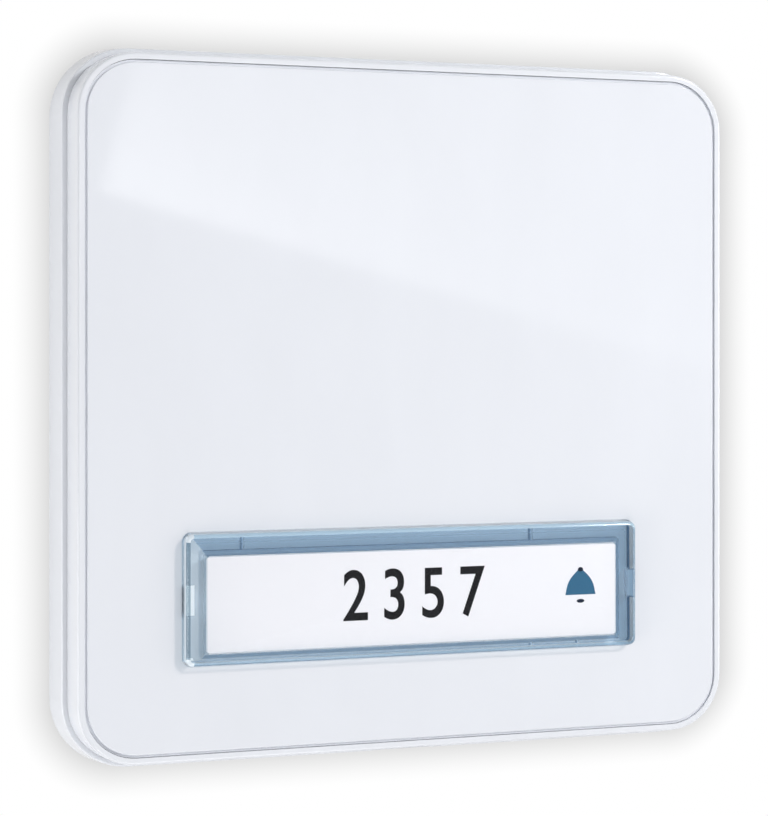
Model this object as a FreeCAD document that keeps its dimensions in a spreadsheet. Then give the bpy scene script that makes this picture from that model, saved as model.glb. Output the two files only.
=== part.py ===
import FreeCAD, Part
import Sketcher

import math
import os

from FreeCAD import Placement, Rotation, Vector

# A wall mounted bell push. The wall is the plane Y = 0 and the object stands out towards -Y.
# +Z is up and +X is to the right for someone who faces the button. The origin lies on the wall
# plane, midway between the two wall screws. "Depth" below is the distance from the wall.
# Every body is drawn on its own XZ plane, whose normal points away from the wall.

# Driving dimensions in millimetres: name, value and what it sizes
DIMENSIONS = (
    ("plate_side", 88.0, "width and height of the casing at the wall"),
    ("plate_corner", 8.7, "corner radius of the casing at the wall"),
    ("plate_depth", 9.6, "thickness of the casing, wall to face"),
    ("seam_depth", 5.0, "height of the rear housing's visible side"),
    ("rear_draft", 0.55, "how far the rear housing's sides lean in, wall to ledge"),
    ("ledge_width", 0.65, "ledge of the rear housing round the foot of the front cover"),
    ("ledge_round", 0.25, "rounding of the ledge's outer edge"),
    ("front_draft", 0.35, "how far the front cover's sides lean in, ledge to face"),
    ("seam_gap", 0.1, "gap between rear housing and front cover"),
    ("floor_thickness", 1.6, "rear housing floor"),
    ("lip_clearance", 0.2, "rear housing lip to the inside of the cover"),
    ("lip_thickness", 1.1, "rear housing lip"),
    ("lip_top_gap", 0.5, "top of the lip to the cover's web"),
    ("groove_width", 1.1, "coring groove in the back of the thick wall"),
    ("groove_depth", 2.4, "depth of the coring groove"),
    ("cover_wall", 1.2, "side wall of the front cover at the seam"),
    ("cover_web", 1.2, "web of the front cover behind the panel"),
    ("rim_width", 0.8, "rim of the front cover round the panel"),
    ("rim_round", 0.35, "rounding of the rim's outer edge"),
    ("panel_thickness", 1.5, "gloss front panel"),
    ("panel_gap", 0.35, "shadow line between rim and panel"),
    ("panel_gap_depth", 0.3, "depth of that shadow line"),
    ("panel_fit", 0.05, "panel's edge to the recess it sits in"),
    ("panel_round", 0.15, "rounding of the panel's front edges"),
    ("button_width", 59.2, "width of the push cap"),
    ("button_height", 15.8, "height of the push cap"),
    ("button_corner", 0.9, "corner radius of the push cap"),
    ("button_rise", 21.0, "casing's lower edge to the middle of the push cap"),
    ("button_proud", 1.5, "how far the cap stands out of the face"),
    ("button_travel", 1.0, "how far the cap goes in"),
    ("button_clearance", 0.15, "gap between cap and opening on each side"),
    ("lens_depth", 2.55, "clear cap, front to back"),
    ("lens_front", 1.0, "front wall of the clear cap"),
    ("lens_round", 0.45, "rounding of the clear cap's front edge"),
    ("lens_side_rim", 2.45, "solid rim of the clear cap at its ends"),
    ("lens_top_rim", 2.55, "solid rim of the clear cap above the card"),
    ("lens_bottom_rim", 1.25, "solid rim of the clear cap below the card"),
    ("window_corner", 0.3, "corner radius of the card's pocket in the clear cap"),
    ("card_thickness", 0.3, "name card"),
    ("card_gap", 0.05, "air between card and clear cap"),
    ("card_clearance", 0.15, "card and diffuser to the pocket on each side"),
    ("clip_height", 3.3, "height of the two clips that hold the clear cap"),
    ("clip_thickness", 0.8, "thickness of those clips"),
    ("clip_reach", 1.5, "how far the clips reach into the clear cap"),
    ("clip_clearance", 0.15, "clip to its notch"),
    ("carrier_plate", 1.0, "plate of the button carrier behind the diffuser"),
    ("carrier_wall", 1.2, "side wall of the button carrier"),
    ("flange_width", 1.3, "carrier flange beyond the opening it stops against"),
    ("flange_thickness", 1.0, "carrier flange"),
    ("stop_gap", 0.05, "flange to web at rest"),
    ("light_window_inner", 3.5, "middle of the button to the near edge of a light window"),
    ("light_window_outer", 21.5, "middle of the button to the far edge of a light window"),
    ("light_window_height", 8.4, "height of the two light windows"),
    ("actuator_diameter", 2.4, "peg of the carrier that presses the switch"),
    ("actuator_length", 0.5, "length of that peg"),
    ("actuator_gap", 0.05, "peg to the switch plunger at rest"),
    ("retainer_thickness", 1.0, "frame that keeps the button in the cover"),
    ("retainer_gap", 0.25, "carrier flange to the retainer at full travel"),
    ("retainer_window_width", 44.0, "opening in the retainer for switch and lights"),
    ("retainer_window_height", 13.5, "height of that opening"),
    ("boss_diameter", 4.4, "screw bosses of the cover"),
    ("boss_gap", 0.4, "boss to the carrier flange"),
    ("boss_inset", 27.0, "middle of the button to the bosses, sideways"),
    ("retainer_screw_shank", 1.9, "core of the retainer screws"),
    ("retainer_screw_head", 3.6, "head diameter of the retainer screws"),
    ("retainer_screw_head_height", 1.1, "head height of the retainer screws"),
    ("retainer_screw_length", 3.2, "retainer screws under the head"),
    ("retainer_cross", 2.2, "driver cross in the retainer screws, tip to tip"),
    ("retainer_hole_gap", 0.15, "retainer screws to their holes in the frame, radially"),
    ("pilot_extra", 0.4, "pilot holes beyond the tips of the screws in them"),
    ("spring_inset", 4.4, "end of the cap to the spring's axis"),
    ("spring_diameter", 4.2, "outer diameter of the return springs"),
    ("spring_wire", 0.35, "wire of the return springs"),
    ("spring_post", 2.6, "diameter of the posts inside the springs"),
    ("spring_post_height", 1.1, "height of the posts on the retainer"),
    ("spring_pin_height", 0.5, "height of the posts on the carrier"),
    ("spring_seat_gap", 0.03, "spring to each of its seats"),
    ("board_standoff", 0.7, "floor to circuit board"),
    ("board_thickness", 1.0, "circuit board"),
    ("board_width", 48.0, "circuit board, side to side"),
    ("board_margin", 1.8, "board edge beyond the terminals"),
    ("board_below", 10.5, "middle of the button to the board's lower edge"),
    ("board_fixing_inset", 20.5, "middle of the board to its screws and pins"),
    ("board_screw_shank", 2.1, "core of the board screws"),
    ("board_screw_head", 4.4, "head diameter of the board screws"),
    ("board_screw_head_height", 1.4, "head height of the board screws"),
    ("board_screw_length", 2.3, "board screws under the head"),
    ("board_cross", 2.6, "driver cross in the board screws, tip to tip"),
    ("board_screw_rise", 1.0, "board screws above the terminals' line"),
    ("board_hole_gap", 0.2, "screws to their holes in the board, radially"),
    ("standoff_diameter", 5.0, "round pads under the board"),
    ("locating_pin", 1.8, "pins that locate the board's lower edge"),
    ("locating_pin_rise", 2.0, "board's lower edge to those pins"),
    ("fit_gap", 0.05, "radial gap of screws in pilot holes and pins in holes"),
    ("switch_side", 6.2, "square body of the switch"),
    ("switch_corner", 0.4, "corner radius of the switch body and its lid"),
    ("switch_floor", 0.5, "floor of the switch body"),
    ("switch_bore", 5.0, "round chamber of the switch body"),
    ("switch_lid", 0.2, "steel lid of the switch"),
    ("plunger_diameter", 3.0, "switch plunger"),
    ("plunger_collar", 4.6, "collar that keeps the plunger in"),
    ("plunger_collar_height", 0.55, "height of that collar"),
    ("plunger_bevel", 0.2, "bevel round the plunger's top"),
    ("plunger_clearance", 0.08, "plunger to the hole in the lid, radially"),
    ("plunger_overrun", 0.1, "room under the collar at full travel"),
    ("collar_gap", 0.05, "collar to lid at rest and to the snap disc"),
    ("disc_metal", 0.12, "sheet of the snap disc"),
    ("disc_crown", 0.92, "radius of the snap disc's flat crown"),
    ("leg_metal", 0.2, "sheet of the soldered legs"),
    ("leg_length", 1.0, "how far the soldered legs lie out on the board"),
    ("leg_width", 0.7, "width of the soldered legs"),
    ("switch_leg_pitch", 4.2, "distance between the switch's two rows of legs"),
    ("lamp_length", 3.5, "lamp body, side to side"),
    ("lamp_width", 2.8, "lamp body, up and down"),
    ("lamp_height", 1.9, "lamp body above the board"),
    ("lamp_inner", 8.0, "middle of the button to the inner lamps"),
    ("lamp_outer", 17.0, "middle of the button to the outer lamps"),
    ("terminal_width", 7.0, "brass terminal plate"),
    ("terminal_height", 8.0, "brass terminal plate, up and down"),
    ("terminal_metal", 0.8, "sheet of terminal plates and wire clamps"),
    ("terminal_inset", 5.5, "middle of the board to each terminal"),
    ("terminal_gap", 0.8, "retainer to terminal plates"),
    ("clamp_side", 6.2, "square wire clamp"),
    ("terminal_screw_shank", 2.9, "terminal screw"),
    ("terminal_screw_head", 5.0, "head of the terminal screw"),
    ("terminal_screw_head_height", 1.5, "head height of the terminal screw"),
    ("terminal_screw_length", 2.9, "terminal screw under the head"),
    ("screw_slot_width", 0.7, "driver slots and crosses"),
    ("rectifier_width", 4.7, "bridge rectifier body"),
    ("rectifier_height", 3.9, "bridge rectifier body, up and down"),
    ("rectifier_thickness", 2.4, "bridge rectifier body above the board"),
    ("rectifier_leg_pitch", 2.6, "distance between the rectifier's two rows of legs"),
    ("chip_length", 3.2, "series resistor"),
    ("chip_width", 1.6, "series resistor, up and down"),
    ("chip_thickness", 0.6, "series resistor above the board"),
    ("parts_inset", 14.5, "middle of the board to rectifier and resistors"),
    ("wall_screw_spacing", 60.0, "wall screws, the spacing of a flush wiring box"),
    ("wall_slot_width", 4.2, "slots for the wall screws"),
    ("wall_slot_length", 7.0, "end to end length of those slots"),
    ("cable_hole", 12.0, "hole in the floor for the cable grommet"),
    ("cable_bore", 6.0, "hole in the grommet"),
    ("cable_gap", 4.5, "board to the grommet's lip"),
    ("grommet_lip", 15.0, "lip of the grommet"),
    ("grommet_lip_thickness", 1.0, "lip inside the housing"),
    ("grommet_recess", 0.6, "recess in the back for the outer lip"),
    ("grommet_gap", 0.1, "outer lip to the wall of that recess"),
    ("grommet_taper", 0.4, "slope at the rim of the inner lip"),
    ("hook_width", 8.0, "snap hooks of the cover"),
    ("hook_thickness", 1.2, "leg of the snap hooks"),
    ("hook_clearance", 0.4, "leg to the inside of the lip"),
    ("hook_barb", 0.8, "how far the barbs stand out"),
    ("hook_tip", 1.4, "floor to the tip of the hooks"),
    ("barb_height", 1.0, "length of the barb along the leg"),
    ("barb_nose", 0.7, "length of the barb's sloping nose"),
    ("catch_clearance", 0.2, "barb to its catch window, front and back"),
    ("catch_side_gap", 0.4, "barb to its catch window on each side"),
    ("rib_thickness", 0.8, "stiffening ribs behind the web"),
    ("rib_height", 0.9, "height of those ribs"),
    ("pry_width", 8.0, "notch for opening the cover"),
    ("pry_height", 0.9, "height of that notch"),
    ("cut_over", 1.0, "how far an open cut runs past the surface"),
)

SPRING_TURNS = 3
SPRING_QUARTERS = 4
SAMPLES_PER_ARC = 8
HOOK_COUNT = 4
FULL_TURN = 360
SHEET_NAME = "size"

doc = FreeCAD.newDocument("BellPush")
sheet = doc.addObject("Spreadsheet::Sheet", SHEET_NAME)
for row, (alias, number, meaning) in enumerate(DIMENSIONS, start=1):
    sheet.set(f"A{row}", alias)
    sheet.set(f"B{row}", str(number))
    sheet.setAlias(f"B{row}", alias)
    sheet.set(f"C{row}", meaning)
doc.recompute()


class Formula:
    """A size worked out from the sheet, kept as the text of an expression."""

    def __init__(self, text):
        self.text = str(text)

    def __str__(self):
        return self.text

    def __add__(self, other):
        return Formula(f"({self} + {other})")

    def __radd__(self, other):
        return Formula(f"({other} + {self})")

    def __sub__(self, other):
        return Formula(f"({self} - {other})")

    def __rsub__(self, other):
        return Formula(f"({other} - {self})")

    def __mul__(self, other):
        return Formula(f"({self} * {other})")

    def __rmul__(self, other):
        return Formula(f"({other} * {self})")

    def __truediv__(self, other):
        return Formula(f"({self} / {other})")

    def __neg__(self):
        return Formula(f"(0 - {self})")


class Sizes:
    """The sheet's cells by name, each as a formula."""

    def __getattr__(self, name):
        return Formula(f"{SHEET_NAME}.{name}")


size = Sizes()
subparts = []


def number(formula):
    """The present value of a formula or plain number."""
    return float(doc.getObject(SHEET_NAME).evalExpression(str(formula)))


def bind(feature, path, formula):
    """Ties one property of a feature to a formula."""
    feature.setExpression(path, str(formula))


def new_body(label, x=0, depth=0, z=0):
    """An empty body whose own origin lies at the given place of the object."""
    body = doc.addObject("PartDesign::Body", label)
    body.Label = label
    bind(body, "Placement.Base.x", x)
    bind(body, "Placement.Base.y", -Formula(depth))
    bind(body, "Placement.Base.z", z)
    subparts.append(body)
    return body


def origin_feature(body, role):
    """One of a body's own origin planes or axes."""
    return next(item for item in body.Origin.OriginFeatures if item.Role == role)


def new_sketch(body, name, depth=0, role="XZ_Plane"):
    """A sketch on one of the body's origin planes, moved along that plane's normal."""
    sketch = body.newObject("Sketcher::SketchObject", name)
    sketch.AttachmentSupport = [(origin_feature(body, role), "")]
    sketch.MapMode = "FlatFace"
    bind(sketch, "AttachmentOffset.Base.z", depth)
    return sketch


def constrain(sketch, kind, *members, formula=None):
    """Adds a constraint and, where it has a size, ties that to a formula."""
    if formula is None:
        sketch.addConstraint(Sketcher.Constraint(kind, *members))
        return
    index = sketch.addConstraint(Sketcher.Constraint(kind, *members, number(formula)))
    bind(sketch, f"Constraints[{index}]", formula)


def place_point(sketch, curve, point, x, z):
    """Fixes a point of a curve by its distances from the sketch's origin."""
    constrain(sketch, "DistanceX", -1, 1, curve, point, formula=x)
    constrain(sketch, "DistanceY", -1, 1, curve, point, formula=z)


def add_circle(sketch, diameter, x=0, z=0):
    """A circle with its centre at x, z."""
    centre = Vector(number(x), number(z), 0)
    circle = Part.Circle(centre, Vector(0, 0, 1), number(diameter) / 2)
    curve = sketch.addGeometry(circle, False)
    constrain(sketch, "Diameter", curve, formula=diameter)
    place_point(sketch, curve, 3, x, z)


def add_polygon(sketch, corners):
    """A closed outline of straight lines through corners given as formula pairs."""
    points = [Vector(number(x), number(z), 0) for x, z in corners]
    curves = []
    for start, end in zip(points, points[1:] + points[:1]):
        curves.append(sketch.addGeometry(Part.LineSegment(start, end), False))
    for curve, following in zip(curves, curves[1:] + curves[:1]):
        constrain(sketch, "Coincident", curve, 2, following, 1)
    for curve, (x, z) in zip(curves, corners):
        place_point(sketch, curve, 1, x, z)


def add_rectangle(sketch, width, height, x=0, z=0):
    """A rectangle with its middle at x, z."""
    right, top = width / 2, height / 2
    corners = ((x - right, z - top), (x + right, z - top), (x + right, z + top), (x - right, z + top))
    add_polygon(sketch, corners)


def add_rounded(sketch, half_width, half_height, radius, x=0, z=0):
    """A rounded rectangle with its middle at x, z."""
    wide, tall, bend = number(half_width), number(half_height), number(radius)
    middle = Vector(number(x), number(z), 0)
    arcs = []
    for quarter, (across, up) in enumerate(((1, 1), (-1, 1), (-1, -1), (1, -1))):
        centre = middle + Vector(across * (wide - bend), up * (tall - bend), 0)
        start = math.radians(90 * quarter)
        circle = Part.Circle(centre, Vector(0, 0, 1), bend)
        arcs.append(Part.ArcOfCircle(circle, start, start + math.pi / 2))
    lines = [Part.LineSegment(arc.EndPoint, arcs[(k + 1) % 4].StartPoint) for k, arc in enumerate(arcs)]
    arc_ids = [sketch.addGeometry(arc, False) for arc in arcs]
    line_ids = [sketch.addGeometry(line, False) for line in lines]
    for k, line in enumerate(line_ids):
        constrain(sketch, "Tangent", arc_ids[k], 2, line, 1)
        constrain(sketch, "Tangent", line, 2, arc_ids[(k + 1) % 4], 1)
    for arc in arc_ids[1:]:
        constrain(sketch, "Equal", arc_ids[0], arc)
    top, left, bottom, right = line_ids
    for line in (top, bottom):
        constrain(sketch, "Horizontal", line)
    for line in (left, right):
        constrain(sketch, "Vertical", line)
    constrain(sketch, "Radius", arc_ids[0], formula=radius)
    constrain(sketch, "DistanceY", -1, 1, top, 1, formula=z + half_height)
    constrain(sketch, "DistanceY", -1, 1, bottom, 1, formula=z - half_height)
    constrain(sketch, "DistanceX", -1, 1, left, 1, formula=x - half_width)
    constrain(sketch, "DistanceX", -1, 1, right, 1, formula=x + half_width)


def add_slot(sketch, length, width, x=0, z=0):
    """A slot along the sketch's X direction with round ends."""
    reach, bend = (number(length) - number(width)) / 2, number(width) / 2
    middle = Vector(number(x), number(z), 0)
    ends = []
    for side in (1, -1):
        circle = Part.Circle(middle + Vector(side * reach, 0, 0), Vector(0, 0, 1), bend)
        start = -side * math.pi / 2
        ends.append(Part.ArcOfCircle(circle, start, start + math.pi))
    right, left = (sketch.addGeometry(arc, False) for arc in ends)
    top = sketch.addGeometry(Part.LineSegment(ends[0].EndPoint, ends[1].StartPoint), False)
    bottom = sketch.addGeometry(Part.LineSegment(ends[1].EndPoint, ends[0].StartPoint), False)
    constrain(sketch, "Tangent", right, 2, top, 1)
    constrain(sketch, "Tangent", top, 2, left, 1)
    constrain(sketch, "Tangent", left, 2, bottom, 1)
    constrain(sketch, "Tangent", bottom, 2, right, 1)
    constrain(sketch, "Radius", right, formula=width / 2)
    place_point(sketch, right, 3, x + (length - width) / 2, z)
    place_point(sketch, left, 3, x - (length - width) / 2, z)


def solid_volume(body):
    """Volume of a body as it stands, nothing for an empty one."""
    doc.recompute()
    return 0.0 if body.Shape.isNull() else body.Shape.Volume


def pad(body, sketch, length, taper=None):
    """Adds material from a sketch, away from the wall."""
    before = solid_volume(body)
    feature = body.newObject("PartDesign::Pad", f"{sketch.Name}_pad")
    feature.Profile = sketch
    bind(feature, "Length", length)
    if taper is not None:
        bind(feature, "TaperAngle", taper)
    if solid_volume(body) <= before:
        raise ValueError(f"{feature.Name} adds nothing to {body.Label}")
    return feature


def pocket(body, sketch, length):
    """Takes material away from a sketch, away from the wall."""
    before = solid_volume(body)
    feature = body.newObject("PartDesign::Pocket", f"{sketch.Name}_pocket")
    feature.Profile = sketch
    feature.Reversed = True
    bind(feature, "Length", length)
    if solid_volume(body) >= before:
        raise ValueError(f"{feature.Name} cuts nothing from {body.Label}")
    return feature


def revolve(body, sketch):
    """Turns a sketch on the YZ plane into a round solid about the body's Y axis."""
    feature = body.newObject("PartDesign::Revolution", f"{sketch.Name}_turn")
    feature.Profile = sketch
    feature.ReferenceAxis = (origin_feature(body, "Y_Axis"), [""])
    feature.Angle = FULL_TURN
    doc.recompute()
    return feature


def turned_profile(body, name, steps):
    """A round solid about the body's Y axis from steps of depth and radius."""
    sketch = new_sketch(body, name, role="YZ_Plane")
    add_polygon(sketch, [(-Formula(depth), radius) for depth, radius in steps])
    return revolve(body, sketch)


def round_edges(body, feature, radius, depth):
    """Rounds the edges of a feature that lie in one plane, at a depth of the body."""
    doc.recompute()
    level = -number(depth)
    names = []
    for index, edge in enumerate(feature.Shape.Edges, start=1):
        box = edge.BoundBox
        if abs(box.YMin - level) < 0.001 and abs(box.YMax - level) < 0.001:
            names.append(f"Edge{index}")
    fillet = body.newObject("PartDesign::Fillet", f"{feature.Name}_round")
    fillet.Base = (feature, names)
    bind(fillet, "Radius", radius)
    doc.recompute()
    return fillet


def mirrored_places(x, z):
    """The four places at plus and minus x and z."""
    return [(across * x, up * z) for across in (1, -1) for up in (1, -1)]


def cross_recess(body, name, places, reach, depth, length):
    """Cross shaped driver recesses, cut from a depth of the body."""
    arms = (("level", reach, size.screw_slot_width), ("upright", size.screw_slot_width, reach))
    for direction, wide, tall in arms:
        sketch = new_sketch(body, f"{name}_{direction}", depth)
        for x, z in places:
            add_rectangle(sketch, wide, tall, x, z)
        pocket(body, sketch, length)


# Places and outlines that several pieces share
PLATE_HALF = size.plate_side / 2
COVER_BACK = size.seam_depth + size.seam_gap
COVER_HEIGHT = size.plate_depth - COVER_BACK
COVER_HALF = PLATE_HALF - size.rear_draft - size.ledge_width
FRONT_HALF = COVER_HALF - size.front_draft
COVER_INNER_HALF = COVER_HALF - size.cover_wall
LIP_HALF = COVER_INNER_HALF - size.lip_clearance
TRAY_HALF = LIP_HALF - size.lip_thickness
RECESS_HALF = FRONT_HALF - size.rim_width
PANEL_SEAT_HALF = RECESS_HALF - size.panel_fit
PANEL_HALF = RECESS_HALF - size.panel_gap
PANEL_BACK = size.plate_depth - size.panel_thickness
WEB_BACK = PANEL_BACK - size.cover_web
REAR_ANGLE = Formula(f"(-1 * atan({size.rear_draft / size.seam_depth}))")
FRONT_ANGLE = Formula(f"(-1 * atan({size.front_draft / COVER_HEIGHT}))")

BUTTON_Z = size.button_rise - PLATE_HALF
BUTTON_HALF_WIDTH = size.button_width / 2
BUTTON_HALF_HEIGHT = size.button_height / 2
LENS_BACK = size.plate_depth + size.button_proud - size.lens_depth
CARRIER_BACK = WEB_BACK - size.stop_gap - size.flange_thickness
CARRIER_CEILING = LENS_BACK - size.carrier_plate
WINDOW_HALF_WIDTH = BUTTON_HALF_WIDTH - size.lens_side_rim
WINDOW_HALF_HEIGHT = (size.button_height - size.lens_top_rim - size.lens_bottom_rim) / 2
WINDOW_Z = (size.lens_bottom_rim - size.lens_top_rim) / 2
DIFFUSER_THICKNESS = size.lens_depth - size.lens_front - size.card_gap - size.card_thickness
SPRING_X = BUTTON_HALF_WIDTH - size.spring_inset

RETAINER_BACK = CARRIER_BACK - size.button_travel - size.retainer_gap - size.retainer_thickness
RETAINER_FRONT = RETAINER_BACK + size.retainer_thickness
BOSS_Z = BUTTON_HALF_HEIGHT + size.flange_width + size.boss_gap + size.boss_diameter / 2
RETAINER_EAR_HALF = size.boss_diameter / 2 + size.boss_gap
RETAINER_HALF_HEIGHT = BOSS_Z + RETAINER_EAR_HALF
RETAINER_HALF_WIDTH = BUTTON_HALF_WIDTH + size.flange_width + size.boss_gap
RETAINER_BAR_HALF = BUTTON_HALF_HEIGHT + size.flange_width + size.boss_gap

BOARD_BACK = size.floor_thickness + size.board_standoff
BOARD_FRONT = BOARD_BACK + size.board_thickness
TERMINAL_Z = BUTTON_Z + RETAINER_HALF_HEIGHT + size.terminal_gap + size.terminal_height / 2
BOARD_TOP = TERMINAL_Z + size.terminal_height / 2 + size.board_margin
BOARD_BOTTOM = BUTTON_Z - size.board_below
BOARD_Z = (BOARD_TOP + BOARD_BOTTOM) / 2
BOARD_SCREW_Z = TERMINAL_Z + size.board_screw_rise
BOARD_SCREW_TIP = BOARD_FRONT - size.board_screw_length
LOCATING_PIN_Z = BOARD_BOTTOM + size.locating_pin_rise
CABLE_Z = BOARD_TOP + size.cable_gap + size.grommet_lip / 2

SWITCH_CHAMBER = size.button_travel + size.plunger_overrun + size.plunger_collar_height + size.collar_gap
SWITCH_HEIGHT = size.switch_floor + SWITCH_CHAMBER
PLUNGER_BACK = BOARD_FRONT + size.switch_floor + size.button_travel + size.plunger_overrun
PLUNGER_TOP = CARRIER_CEILING - size.actuator_length - size.actuator_gap


def plate_radius(half):
    """Corner radius of an outline inside the casing, with the casing's own corner centres."""
    return size.plate_corner - (PLATE_HALF - half)


def square_outline(sketch, half):
    """One of the casing's nested rounded squares."""
    add_rounded(sketch, half, half, plate_radius(half))


def button_outline(sketch, growth=0, z=0):
    """The push cap's outline, grown by a gap on every side."""
    wide, tall = BUTTON_HALF_WIDTH + growth, BUTTON_HALF_HEIGHT + growth
    add_rounded(sketch, wide, tall, size.button_corner + growth, z=z)


def make_rear_housing():
    """The tray that is screwed to the wall, with its lip, posts, slots and cable hole."""
    body = new_body("rear_housing")

    wall = new_sketch(body, "housing_wall")
    square_outline(wall, PLATE_HALF)
    block = pad(body, wall, size.seam_depth, REAR_ANGLE)
    round_edges(body, block, size.ledge_round, size.seam_depth)

    lip_top = WEB_BACK - size.lip_top_gap
    lip = new_sketch(body, "housing_lip", size.floor_thickness)
    square_outline(lip, LIP_HALF)
    pad(body, lip, lip_top - size.floor_thickness)

    tray = new_sketch(body, "housing_tray", size.floor_thickness)
    square_outline(tray, TRAY_HALF)
    pocket(body, tray, lip_top)

    groove = new_sketch(body, "housing_groove")
    square_outline(groove, LIP_HALF)
    square_outline(groove, LIP_HALF + size.groove_width)
    pocket(body, groove, size.groove_depth)

    standoffs = new_sketch(body, "board_standoffs", size.floor_thickness)
    pins = new_sketch(body, "board_pins", size.floor_thickness)
    pilot_floor = BOARD_SCREW_TIP - size.pilot_extra
    pilots = new_sketch(body, "board_pilots", pilot_floor)
    for side in (1, -1):
        x = side * size.board_fixing_inset
        add_circle(standoffs, size.standoff_diameter, x, BOARD_SCREW_Z)
        add_circle(standoffs, size.standoff_diameter, x, LOCATING_PIN_Z)
        add_circle(pins, size.locating_pin, x, LOCATING_PIN_Z)
        add_circle(pilots, size.board_screw_shank + 2 * size.fit_gap, x, BOARD_SCREW_Z)
    pad(body, standoffs, size.board_standoff)
    pad(body, pins, size.board_standoff + size.board_thickness)
    pocket(body, pilots, BOARD_BACK - pilot_floor + size.cut_over)

    slots = new_sketch(body, "wall_slots")
    for side in (1, -1):
        add_slot(slots, size.wall_slot_length, size.wall_slot_width, side * size.wall_screw_spacing / 2)
    pocket(body, slots, size.floor_thickness)

    hole = new_sketch(body, "cable_hole")
    add_circle(hole, size.cable_hole, 0, CABLE_Z)
    pocket(body, hole, size.floor_thickness)
    recess = new_sketch(body, "cable_recess")
    add_circle(recess, size.grommet_lip + 2 * size.grommet_gap, 0, CABLE_Z)
    pocket(body, recess, size.grommet_recess)

    catches = new_sketch(body, "hook_catches", size.floor_thickness + size.hook_tip - size.catch_clearance)
    reach = size.hook_barb + 2 * size.catch_clearance
    middle = TRAY_HALF - size.hook_clearance + reach / 2
    width = size.hook_width + 2 * size.catch_side_gap
    for side in (1, -1):
        add_rectangle(catches, width, reach, 0, side * middle)
        add_rectangle(catches, reach, width, side * middle, 0)
    pocket(body, catches, size.barb_height + 2 * size.catch_clearance)

    notch = new_sketch(body, "pry_notch", size.seam_depth - size.pry_height)
    notch_reach = PLATE_HALF - LIP_HALF - size.groove_width / 2
    add_rectangle(notch, size.pry_width, notch_reach, 0, -(PLATE_HALF - notch_reach / 2))
    pocket(body, notch, size.pry_height + size.cut_over)


def make_cable_grommet():
    """A rubber ring in the floor, where the bell wire comes out of the wall."""
    body = new_body("cable_grommet", 0, 0, CABLE_Z)
    neck = size.cable_hole / 2 - size.fit_gap
    lip = size.grommet_lip / 2
    inside = size.floor_thickness + size.fit_gap
    outside = size.grommet_recess - size.fit_gap
    front = inside + size.grommet_lip_thickness
    rear = size.fit_gap
    bore = size.cable_bore / 2
    steps = (
        (rear, bore), (rear, lip), (outside, lip), (outside, neck),
        (inside, neck), (inside, lip - size.grommet_taper),
        (front, lip - 2 * size.grommet_taper), (front, bore),
    )
    turned_profile(body, "grommet_profile", steps)


def make_snap_hooks(body):
    """Four hooks of the cover that spring into the housing's catch windows."""
    outer = TRAY_HALF - size.hook_clearance
    inner = outer - size.hook_thickness
    tip = COVER_BACK - size.floor_thickness - size.hook_tip
    root = COVER_BACK - WEB_BACK - size.cover_web / 2
    crest = tip - size.barb_nose
    ledge = tip - size.barb_height
    point = outer + size.hook_barb
    sketch = new_sketch(body, "hook_profile", role="YZ_Plane")
    leg_corners = ((root, inner), (tip, inner), (tip, outer))
    barb_corners = ((crest, point), (ledge, point), (ledge, outer), (root, outer))
    add_polygon(sketch, leg_corners + barb_corners)
    before = solid_volume(body)
    leg = body.newObject("PartDesign::Pad", "hook_leg")
    leg.Profile = sketch
    leg.Midplane = True
    bind(leg, "Length", size.hook_width)
    doc.recompute()
    ring = body.newObject("PartDesign::PolarPattern", "hook_ring")
    ring.Originals = [leg]
    ring.Axis = (origin_feature(body, "Y_Axis"), [""])
    ring.Angle = FULL_TURN
    ring.Occurrences = HOOK_COUNT
    body.Tip = ring
    if solid_volume(body) <= before:
        raise ValueError("the snap hooks add nothing")


def make_front_cover():
    """The shell that snaps over the housing and holds panel and button."""
    body = new_body("front_cover", 0, COVER_BACK, 0)

    shell = new_sketch(body, "cover_shell")
    square_outline(shell, COVER_HALF)
    block = pad(body, shell, COVER_HEIGHT, FRONT_ANGLE)
    round_edges(body, block, size.rim_round, COVER_HEIGHT)

    cavity = new_sketch(body, "cover_cavity")
    square_outline(cavity, COVER_INNER_HALF)
    pocket(body, cavity, WEB_BACK - COVER_BACK)

    recess = new_sketch(body, "panel_recess", PANEL_BACK - COVER_BACK)
    square_outline(recess, RECESS_HALF)
    pocket(body, recess, size.panel_thickness)

    opening = new_sketch(body, "cover_opening", WEB_BACK - COVER_BACK)
    button_outline(opening, size.button_clearance, BUTTON_Z)
    pocket(body, opening, size.cover_web)

    bosses = new_sketch(body, "retainer_bosses", RETAINER_FRONT - COVER_BACK)
    pilots = new_sketch(body, "retainer_pilots", RETAINER_FRONT - COVER_BACK)
    for x, z in mirrored_places(size.boss_inset, BOSS_Z):
        add_circle(bosses, size.boss_diameter, x, BUTTON_Z + z)
        add_circle(pilots, size.retainer_screw_shank + 2 * size.fit_gap, x, BUTTON_Z + z)
    pad(body, bosses, WEB_BACK - RETAINER_FRONT + size.cover_web / 2)
    pocket(body, pilots, size.retainer_screw_length - size.retainer_thickness + size.pilot_extra)

    ribs = new_sketch(body, "cover_ribs", WEB_BACK - size.rib_height - COVER_BACK)
    rib_bottom = CABLE_Z - size.grommet_lip / 2
    rib_top = TRAY_HALF - size.hook_clearance - size.hook_thickness - size.hook_barb
    for side in (1, -1):
        x = side * (size.grommet_lip / 2 + size.cable_gap)
        add_rectangle(ribs, size.rib_thickness, rib_top - rib_bottom, x, (rib_top + rib_bottom) / 2)
    pad(body, ribs, size.rib_height + size.cover_web / 2)

    make_snap_hooks(body)


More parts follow.
